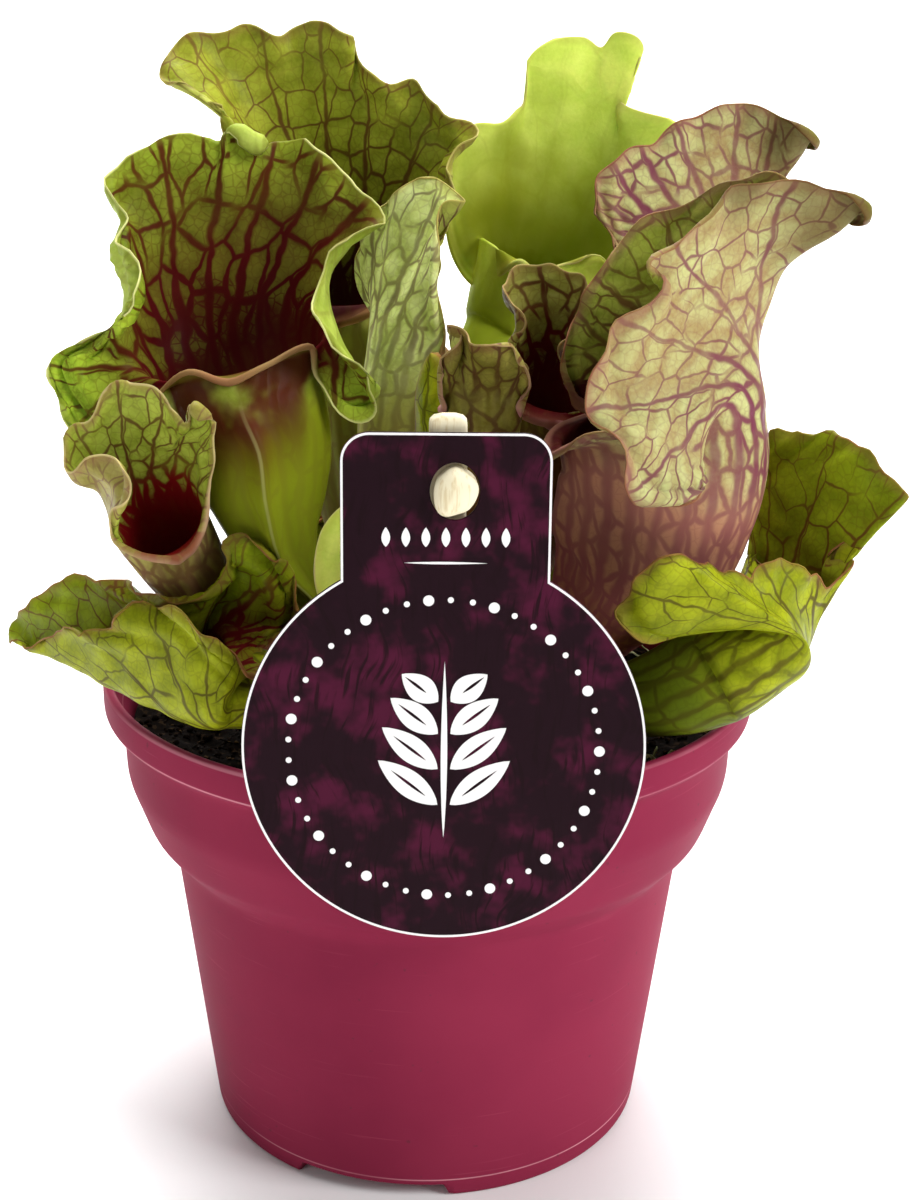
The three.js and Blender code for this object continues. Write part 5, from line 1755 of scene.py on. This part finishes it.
@dataclass
class NurseryPot:
    """Thin thermoformed pot: tapered body, two-step flared collar, rolled lip, three low feet.

    The foot ring is lifted in three gaps. drain_turn turns the drain holes a little, in radians,
    so that their edges miss the pot's own grid lines.
    """

    wall: float = 0.9
    lip_radius: float = 44.0
    lip_width: float = 1.3
    lip_drop: float = 1.6
    height: float = 65.0
    foot_height: float = 2.0
    foot_inner: float = 27.6
    foot_outer: float = 30.4
    gap_deg: float = 39.0
    gap_ease_deg: float = 0.8
    first_gap_deg: float = -104.0
    gap_lift: float = 0.97
    drain_holes: int = 6
    drain_radius: float = 3.0
    drain_circle: float = 20.0
    drain_turn: float = 0.002
    fillet: float = 0.7
    places: int = 240
    outside: tuple = (
        (30.7, 2.4), (31.2, 6.5), (33.0, 21.5), (35.1, 39.1), (35.4, 40.5), (36.6, 41.9),
        (38.5, 44.0), (39.0, 45.1), (40.2, 48.5), (41.0, 50.7), (41.3, 52.2), (41.5, 57.6),
        (41.7, 59.2), (42.4, 60.0), (43.5, 60.4), (43.95, 61.0), (44.0, 61.8),
    )

    def profile(self) -> Array:
        """Radius and height from the middle of the base, up outside, over the lip, down inside.

        Returns:
            The rounded profile.
        """
        inside = tuple((r - self.wall, z) for r, z in self.outside[::-1])
        low_radius, floor = self.outside[0][0], self.foot_height + self.wall
        corners = (
            (0.0, self.foot_height), (self.foot_inner - 0.2, self.foot_height),
            (self.foot_inner, 0.0), (self.foot_outer, 0.0), *self.outside,
            (self.lip_radius, self.height), (self.lip_radius - self.lip_width, self.height),
            (self.lip_radius - self.lip_width - 0.2, self.height - self.lip_drop), *inside[4:-1],
            (low_radius - self.wall, floor + 1.4), (low_radius - 3, floor), (0.0, floor),
        )
        return filleted(corners, self.fillet)

    def build(self) -> None:
        """Turns the profile, lifts the foot ring between the feet and opens the drain holes."""
        rows = lathe_rows(self.profile()[1:-1], self.places)
        angle = np.degrees(np.arctan2(rows[..., 1], rows[..., 0]))
        from_gap = np.abs((angle - self.first_gap_deg + 60) % 120 - 60)
        ends = (self.gap_deg / 2 + self.gap_ease_deg, self.gap_deg / 2 - self.gap_ease_deg)
        lift = self.gap_lift * smoothstep(*ends, from_gap)
        low = rows[..., 2] < self.foot_height
        rows[..., 2] += np.where(low, lift * (self.foot_height - rows[..., 2]), 0)
        pot = ring_object("pot_shell", rows)
        for k in range(self.drain_holes):
            self.drill(pot, 2 * math.pi * k / self.drain_holes + self.drain_turn)
        dress(pot, POT_PLASTIC, "pot")

    def drill(self, pot: Object, angle: float) -> None:
        """Cuts one round drain hole through the floor.

        Args:
            pot: The pot.
            angle: Where the hole is, in radians anticlockwise from +X.
        """
        through = (0.5, self.foot_height + self.wall + 2.1)
        rows = lathe_rows(np.array([(self.drain_radius, z) for z in through]), 32)
        rows[..., :2] += self.drain_circle * np.array([math.cos(angle), math.sin(angle)])
        cutter = ring_object("drain_cutter", rows)
        cut = pot.modifiers.new("drain", "BOOLEAN")
        cut.object, cut.operation, cut.solver = cutter, "DIFFERENCE", "EXACT"
        mesh = solid_mesh(pot)
        pot.modifiers.remove(cut)
        pot.data = mesh
        bpy.data.objects.remove(cutter)


@dataclass
class PeatFilling:
    """Loose moist peat with a lumpy top, crumbs and fibres on it, and a few strands of moss."""

    crumb_count: int = 2400
    strand_count: int = 26
    seed: int = 5
    edge_radius: float = 40.2
    edge_z: float = 57.6
    crown_z: float = 56.8
    places: int = 240
    top_rings: int = 110
    fibre_share: float = 0.14
    strand_radius: float = 0.16
    tufts: tuple = ((26.5, -21.5), (30.0, 20.0))
    side: tuple = (
        (27.4, 3.3), (29.6, 4.4), (31.8, 21.5), (33.9, 39.5), (35.2, 41.9), (37.1, 44.2),
        (38.8, 48.7), (39.9, 52.3), (40.2, 56.4),
    )

    def top(self, x: Array, y: Array) -> Array:
        """Height of the peat: a shallow dish, plus lumps 9, 3.5 and 1.4 mm long.

        Args:
            x: Places along X.
            y: Places along Y.

        Returns:
            The height at each place.
        """
        radius = np.hypot(x, y)
        dish = self.crown_z + (self.edge_z - self.crown_z) * smoothstep(26, 40, radius)
        at = np.stack([x, y, 0 * x], axis=-1)
        lumps = 0.55 * waves(at, 9, self.seed) + 0.4 * waves(at, 3.5, self.seed + 1)
        fine = 0.22 * waves(at, 1.4, self.seed + 2)
        return dish + (lumps + fine) * smoothstep(self.edge_radius + 0.1, 38.8, radius)

    def body(self) -> None:
        """One closed body: flat base, pot-shaped side, lumpy top."""
        r = np.linspace(self.edge_radius, 0.4, self.top_rings)
        flat = lathe_rows(np.column_stack([r, 0 * r]), self.places)
        flat[..., 2] = self.top(flat[..., 0], flat[..., 1])
        rows = np.concatenate([lathe_rows(np.array(self.side), self.places), flat])
        obj = ring_object("peat_body", rows)
        dress(obj, PEAT, "peat")

    def crumbs(self) -> None:
        """Small lumps and short fibres strewn on the peat, one closed mesh each.

        Each is a stretched ball: unit ball rings times three random sizes, tipped, turned, then
        set on the peat at a random place.
        """
        rng = np.random.default_rng(self.seed)
        n = self.crumb_count
        radius = 39.4 * np.sqrt(rng.uniform(0.1, 1, n))
        around = rng.uniform(0, 2 * np.pi, n)
        x, y = radius * np.cos(around), radius * np.sin(around)
        size = rng.uniform(0.16, 0.6, (n, 1)) * rng.uniform(0.45, 1, (n, 3))
        fibre = rng.uniform(size=n) < self.fibre_share
        many = fibre.sum()
        thin = (rng.uniform(0.9, 2.6, many), *rng.uniform(0.08, 0.2, (2, many)))
        size[fibre] = np.stack(thin, -1)
        turn = rng.uniform(0, 2 * np.pi, n)
        tip = rng.normal(0, 0.25, n)
        ball = np.roll(ball_rows(72, 4, 6), 1, axis=-1)
        dented = 1 + 0.25 * rng.normal(size=(n, 4, 6, 1)) * ~fibre[:, None, None, None]
        lump = ball[None] * size[:, None, None] * dented
        cx, sx = np.cos(tip)[:, None, None], np.sin(tip)[:, None, None]
        lx = lump[..., 0] * cx - lump[..., 2] * sx
        lz = lump[..., 0] * sx + lump[..., 2] * cx
        ly = lump[..., 1]
        cz, sz = np.cos(turn)[:, None, None], np.sin(turn)[:, None, None]
        world = np.stack([lx * cz - ly * sz, lx * sz + ly * cz, lz], -1)
        world += np.stack([x, y, self.top(x, y) + 0.25 * size[:, 2]], -1)[:, None, None]
        obj = many_rings("peat_crumbs", world)
        dress(obj, CRUMBS)

    def moss(self) -> None:
        """A few pale moss strands: thin tubes on low arcs, in two tufts."""
        rng = np.random.default_rng(self.seed + 9)
        n = self.strand_count
        tuft = np.where(rng.uniform(size=n) < 0.85, 0, 1)
        start = np.array(self.tufts)[tuft] + rng.normal(0, 1.8, (n, 2))
        way = rng.uniform(0, 2 * np.pi, n)
        length = rng.uniform(4, 9, n)[:, None]
        t = np.linspace(0, 1, 12)
        heading = way[:, None] + rng.normal(0, 0.8, n)[:, None] * t
        x = start[:, :1] + length * t * np.cos(heading)
        y = start[:, 1:] + length * t * np.sin(heading)
        keep = 39.0 / np.maximum(np.hypot(x, y), 39.0)
        x, y = x * keep, y * keep
        arch = rng.uniform(0.5, 2.6, n)[:, None] * np.sin(np.pi * t)
        path = np.stack([x, y, self.top(x, y) + 0.4 + arch], -1)
        ahead = unit(np.gradient(path, axis=1))
        side = unit(np.cross(ahead, np.array([0.0, 0.0, 1.0])))
        up = np.cross(ahead, side)
        a = whole_turn(6)[:, None]
        thin = (self.strand_radius * np.sqrt(np.clip(1 - t**2, 0.05, 1)))[None, :, None, None]
        ring = np.cos(a) * side[:, :, None] + np.sin(a) * up[:, :, None]
        obj = many_rings("moss_strands", path[:, :, None] + thin * ring)
        dress(obj, MOSS)


@dataclass
class Rhizome:
    """The knobbly brown crown that the leaves grow from, half sunk in the peat."""

    centre: tuple = (2.0, -2.0, 56.5)
    radii: tuple = (20.8, 14.3, 6.0)
    places: int = 160
    rings: int = 90
    seed: int = 41

    def build(self) -> None:
        """An ellipsoid with lumps 7 and 2.5 mm long."""
        ball = ball_rows(88, self.rings, self.places)
        rows = ball * self.radii + self.centre
        lumps = 0.35 * waves(rows, 7, self.seed) + 0.2 * waves(rows, 2.5, self.seed + 1)
        rows = rows + (lumps - 0.25)[..., None] * unit(ball / self.radii)
        obj = ring_object("rhizome_crown", rows)
        dress(obj, BARK, "rhizome")


# ---------------------------------------------------------------- label


@dataclass
class Label:
    """Die-cut card, a disc under a square-topped tab, printed on the front, hung on a peg.

    hole, rings of dots, sprig and pennants are placed in the card's own plane, from the middle
    of the disc. twigs rows are height on the sprig's stem and length.
    """

    centre_x: float = 1.8
    centre_z: float = 71.3
    front_y: float = -45.5
    lean_deg: float = 4.6
    radius: float = 22.9
    tab_half: float = 11.6
    tab_top: float = 36.3
    corner: float = 3.2
    thickness: float = 0.6
    bevel: float = 0.08
    hole: tuple = (0.95, 29.8)
    hole_radii: tuple = (2.75, 3.2)
    print_lift: float = 0.03
    print_thickness: float = 0.05
    dot_circle: float = 17.6
    dot_step_deg: int = 8
    dot_radii: tuple = (0.62, 0.34, 0.34)
    twigs: tuple = ((-6.5, 8.6), (-2.2, 8.0), (2.0, 6.8), (5.8, 5.2))
    twig_deg: int = 38
    peg_x: float = 2.0
    peg_width: float = 4.2
    peg_thickness: float = 1.8
    peg_length: float = 64.0
    peg_point: float = 7.0
    peg_top: tuple = (-40.8, 109.2)
    peg_lean_deg: float = 6.0

    def place(self, lift: float) -> Matrix:
        """Sets a flat plate on the card.

        Args:
            lift: How many millimetres the plate lies in front of the card's middle.

        Returns:
            Matrix from plate coordinates in metres to the part's frame.
        """
        tilt = Matrix.Rotation(math.radians(90 - self.lean_deg), 4, "X")
        at = Vector((self.centre_x, self.front_y + self.thickness / 2, self.centre_z)) * MM
        return Matrix.Translation(at) @ tilt @ Matrix.Translation((0, 0, lift * MM))

    def outline(self, inset: float) -> Array:
        """Edge of the card, drawn anticlockwise.

        Args:
            inset: How far it is moved in, in millimetres.

        Returns:
            Points, N by 2.
        """
        r, half = self.radius - inset, self.tab_half - inset
        neck = math.asin(half / r)
        disc = np.linspace(math.pi / 2 + neck, 2.5 * math.pi - neck, 160)
        loop = [np.stack([r * np.cos(disc), r * np.sin(disc)], -1)]
        c, top = self.corner - inset, self.tab_top - inset
        for cx, start in ((half - c, 0.0), (c - half, math.pi / 2)):
            a = np.linspace(start, start + math.pi / 2, 14)
            loop.append(np.stack([cx + c * np.cos(a), top - c + c * np.sin(a)], -1))
        return np.vstack(loop)

    def ellipse(self, centre: tuple, radii: tuple, count: int = 40) -> Array:
        """Points round an ellipse."""
        a = whole_turn(count)
        return np.stack([centre[0] + radii[0] * np.cos(a), centre[1] + radii[1] * np.sin(a)], -1)

    def leaf_loop(self, foot: tuple, way_deg: float, length: float, width: float) -> Array:
        """Pointed leaf: half width is width * sin(pi u)^0.8 at fraction u of its length.

        Args:
            foot: Where the leaf starts.
            way_deg: Where it points, in degrees anticlockwise from the right.
            length: How long it is.
            width: About half its width.

        Returns:
            Points, N by 2.
        """
        u = np.linspace(0, 1, 18)
        half = width * np.sin(np.pi * u) ** 0.8 * (1 - 0.25 * u)
        way = math.radians(way_deg)
        ahead = np.array([math.cos(way), math.sin(way)])
        left = half[:, None] * np.array([-ahead[1], ahead[0]])
        spine = np.array(foot) + length * u[:, None] * ahead
        return np.vstack([spine + left, (spine - left)[1:-1][::-1]])

    def card(self) -> None:
        """The card itself, with the hole that the peg's head fills."""
        loops = [self.outline(0), self.ellipse(self.hole, self.hole_radii)]
        obj = flat_object("label_card_sheet", loops, self.thickness, self.place(0), self.bevel)
        dress(obj, CARD_PRINT, "label_card")

    def sprig(self) -> list[Array]:
        """A plain sprig: a stem with pairs of leaves, each beside a thin second blade.

        Returns:
            Outlines, N by 2.
        """
        loops = [self.leaf_loop((0.0, -10.5), 90, 21.0, 0.42)]
        for height, length in self.twigs:
            for sign, way in ((1, self.twig_deg), (-1, 180 - self.twig_deg)):
                loops.append(self.leaf_loop((0.7 * sign, height), way, length, 1.75))
                foot = (0.7 * sign + sign * 1.3, height + 1.0)
                loops.append(self.leaf_loop(foot, way, length * 0.6, 0.2))
        return loops

    def artwork(self) -> None:
        """White print: the card's pale edge, a ring of dots, bars, and a plain leafy sprig."""
        loops = [self.outline(0.04), self.outline(0.3)]
        for i, a in enumerate(np.radians(np.arange(0, 360, self.dot_step_deg))):
            centre = (self.dot_circle * math.cos(a), self.dot_circle * math.sin(a))
            loops.append(self.ellipse(centre, (self.dot_radii[i % 3],) * 2, 20))
        loops += self.sprig()
        loops.append(self.leaf_loop((-4.6, 21.8), 0, 9.2, 0.16))
        loops += [self.leaf_loop((x, 23.6), 90, 2.2, 0.55) for x in np.linspace(-6.6, 6.6, 7)]
        lift = self.thickness / 2 + self.print_lift
        obj = flat_object("label_print", loops, self.print_thickness, self.place(lift))
        dress(obj, WHITE_INK)

    def peg(self) -> None:
        """Strip of wood with eased edges: rings up its length, rounded-square sections."""
        low = -self.peg_length
        rise = np.concatenate(
            [[low, low + 0.6], np.linspace(low + 2, -1.2, 70), [-0.7, -0.3, -0.05, 0.0]]
        )
        half = self.peg_width / 2 * np.clip((rise - low + 0.5) / self.peg_point, 0.1, 1)
        half = half * np.sqrt(np.clip(1 - np.clip((rise + 1.2) / 1.25, 0, 1) ** 3, 0.2, 1))
        eased = np.sqrt(np.clip(1 - np.clip((rise + 0.7) / 0.75, 0, 1) ** 2, 0.15, 1))
        deep = self.peg_thickness / 2 * eased
        a = whole_turn(40)
        across, back = (np.sign(f(a)) * np.abs(f(a)) ** 0.35 for f in (np.cos, np.sin))
        x, y = half[:, None] * across, deep[:, None] * back
        flat = np.stack([x, y, rise[:, None] + 0 * x], -1)
        flat[..., 0] += 0.05 * waves(flat * (1, 1, 0.3), 2.5, 71)
        lean = math.radians(self.peg_lean_deg)
        top_y, top_z = self.peg_top
        world = np.stack(
            [
                self.peg_x + flat[..., 0],
                top_y + flat[..., 1] * math.cos(lean) - flat[..., 2] * math.sin(lean),
                top_z + flat[..., 2] * math.cos(lean) + flat[..., 1] * math.sin(lean),
            ],
            -1,
        )
        obj = ring_object("peg_strip", world)
        dress(obj, POPLAR, "label_peg")

    def peg_head(self) -> None:
        """Domed, slightly lumpy head of the peg, standing out through the card's hole."""
        depth = np.array([-2.6, 0.0, 0.5, 0.9, 1.25, 1.5, 1.66, 1.74])
        share = np.array([0.82, 0.84, 0.86, 0.82, 0.7, 0.5, 0.28, 0.1])
        a = whole_turn(48)
        lumpy = 1 + 0.07 * np.sin(2 * a + 0.6) + 0.05 * np.sin(3 * a + 2) + 0.03 * np.sin(5 * a)
        x = self.hole[0] + share[:, None] * self.hole_radii[0] * lumpy * np.cos(a)
        z = self.hole[1] + share[:, None] * self.hole_radii[1] * lumpy * np.sin(a)
        rows = np.stack([x, z, depth[:, None] + 0 * x], -1) * MM
        matrix = np.array(self.place(self.thickness / 2))
        world = rows @ matrix[:3, :3].T + matrix[:3, 3]
        obj = ring_object("peg_head", world / MM)
        dress(obj, POPLAR)

    def build(self) -> None:
        """Builds the label's four pieces."""
        for make in (self.card, self.artwork, self.peg, self.peg_head):
            make()


# ---------------------------------------------------------------- studio


@dataclass
class Studio:
    """White paper sweep, soft lights and the camera.

    eye is in millimetres and the camera's angles are in radians. lights rows are name, place in
    metres, size in metres, watts and the point that the light is aimed at.
    """

    eye: tuple = (0.0, -240.0, 156.92)
    yaw: float = 0.01606
    pitch: float = 0.33427
    roll: float = 0.01206
    focal_px: float = 1872.96
    image_height_px: float = 1200.0
    sensor_mm: float = 36.0
    surround: float = 0.17
    sweep_radius: float = 600.0
    sweep_half_width: float = 2600.0
    lights: tuple = (
        ("key", (1.3, -0.6, 0.95), 0.7, 22.5, (0, 0, 0.08)),
        ("fill", (-0.9, -1.0, 0.7), 0.9, 3.0, (0, 0, 0.08)),
        ("top", (0.0, 0.3, 1.3), 0.8, 11.0, (0, 0, 0.1)),
        ("wash", (0.0, 0.9, 1.9), 1.6, 66.0, (0, 2.3, 0.3)),
    )

    def camera(self) -> None:
        """Places the camera: looking along +Y, turned right by yaw, down by pitch, then rolled."""
        data = bpy.data.cameras.new("camera")
        data.sensor_width = self.sensor_mm
        data.lens = self.focal_px / self.image_height_px * self.sensor_mm
        data.clip_start = 0.01
        obj = add_object("camera", data)
        cy, sy = math.cos(self.yaw), math.sin(self.yaw)
        cp, sp = math.cos(self.pitch), math.sin(self.pitch)
        ahead = Vector((sy * cp, cy * cp, -sp))
        right = Vector((cy, -sy, 0))
        up = right.cross(ahead)
        cr, sr = math.cos(self.roll), math.sin(self.roll)
        right, up = cr * right + sr * up, cr * up - sr * right
        turn = Matrix((right, up, -ahead)).transposed().to_4x4()
        obj.matrix_world = Matrix.Translation(Vector(self.eye) * MM) @ turn
        bpy.context.scene.camera = obj

    def sweep(self) -> None:
        """Paper that lies flat, curves up behind in a quarter circle, and then stands."""
        r, wide = self.sweep_radius, self.sweep_half_width
        a = np.linspace(0, np.pi / 2, 24)
        y = np.concatenate([[-2200.0], 1400 + r * np.sin(a), [1400 + r]])
        z = np.concatenate([[0.0], r - r * np.cos(a), [r + 2000]])
        x = np.array([-wide, wide])
        rows = np.stack(np.broadcast_arrays(x[None], y[:, None], z[:, None]), -1)
        k = np.arange(len(y) - 1)
        faces = np.stack([2 * k, 2 * k + 1, 2 * k + 3, 2 * k + 2], -1).tolist()
        obj = make_object("paper_sweep", rows.reshape(-1, 3), faces)
        obj.data.materials.append(PAPER.material())

    def light(self, name: str, at: tuple, size: float, watts: float, aim: tuple) -> None:
        """Adds a square soft box, aimed at a point.

        Args:
            name: Name of the light.
            at: Where it is, in metres.
            size: Length of its side, in metres.
            watts: Its power.
            aim: Where it points, in metres.
        """
        data = bpy.data.lights.new(name, "AREA")
        data.shape, data.size, data.energy = "SQUARE", size, watts
        way = (Vector(aim) - Vector(at)).to_track_quat("-Z", "Y")
        obj = add_object(name, data)
        obj.matrix_world = Matrix.Translation(at) @ way.to_matrix().to_4x4()

    def build(self) -> None:
        """Sets up a plain tone curve, the camera, the paper, an even surround and the lights."""
        scene = bpy.context.scene
        scene.view_settings.view_transform = "Standard"
        self.camera()
        self.sweep()
        scene.world = bpy.data.worlds.new("surround")
        scene.world.use_nodes = True
        background = scene.world.node_tree.nodes["Background"]
        background.inputs["Color"].default_value = (1, 1, 1, 1)
        background.inputs["Strength"].default_value = self.surround
        for light in self.lights:
            self.light(*light)


# ---------------------------------------------------------------- run


def main() -> None:
    """Builds every piece in turn."""
    logging.basicConfig(level=logging.INFO, format="%(message)s")
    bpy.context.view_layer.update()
    Studio().build()
    NurseryPot().build()
    peat = PeatFilling()
    for make in (peat.body, peat.crumbs, peat.moss):
        make()
    Rhizome().build()
    for leaf in (*PITCHERS, *BLADES):
        leaf.build()
    Label().build()
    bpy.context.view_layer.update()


if __name__ == "__main__":
    main()
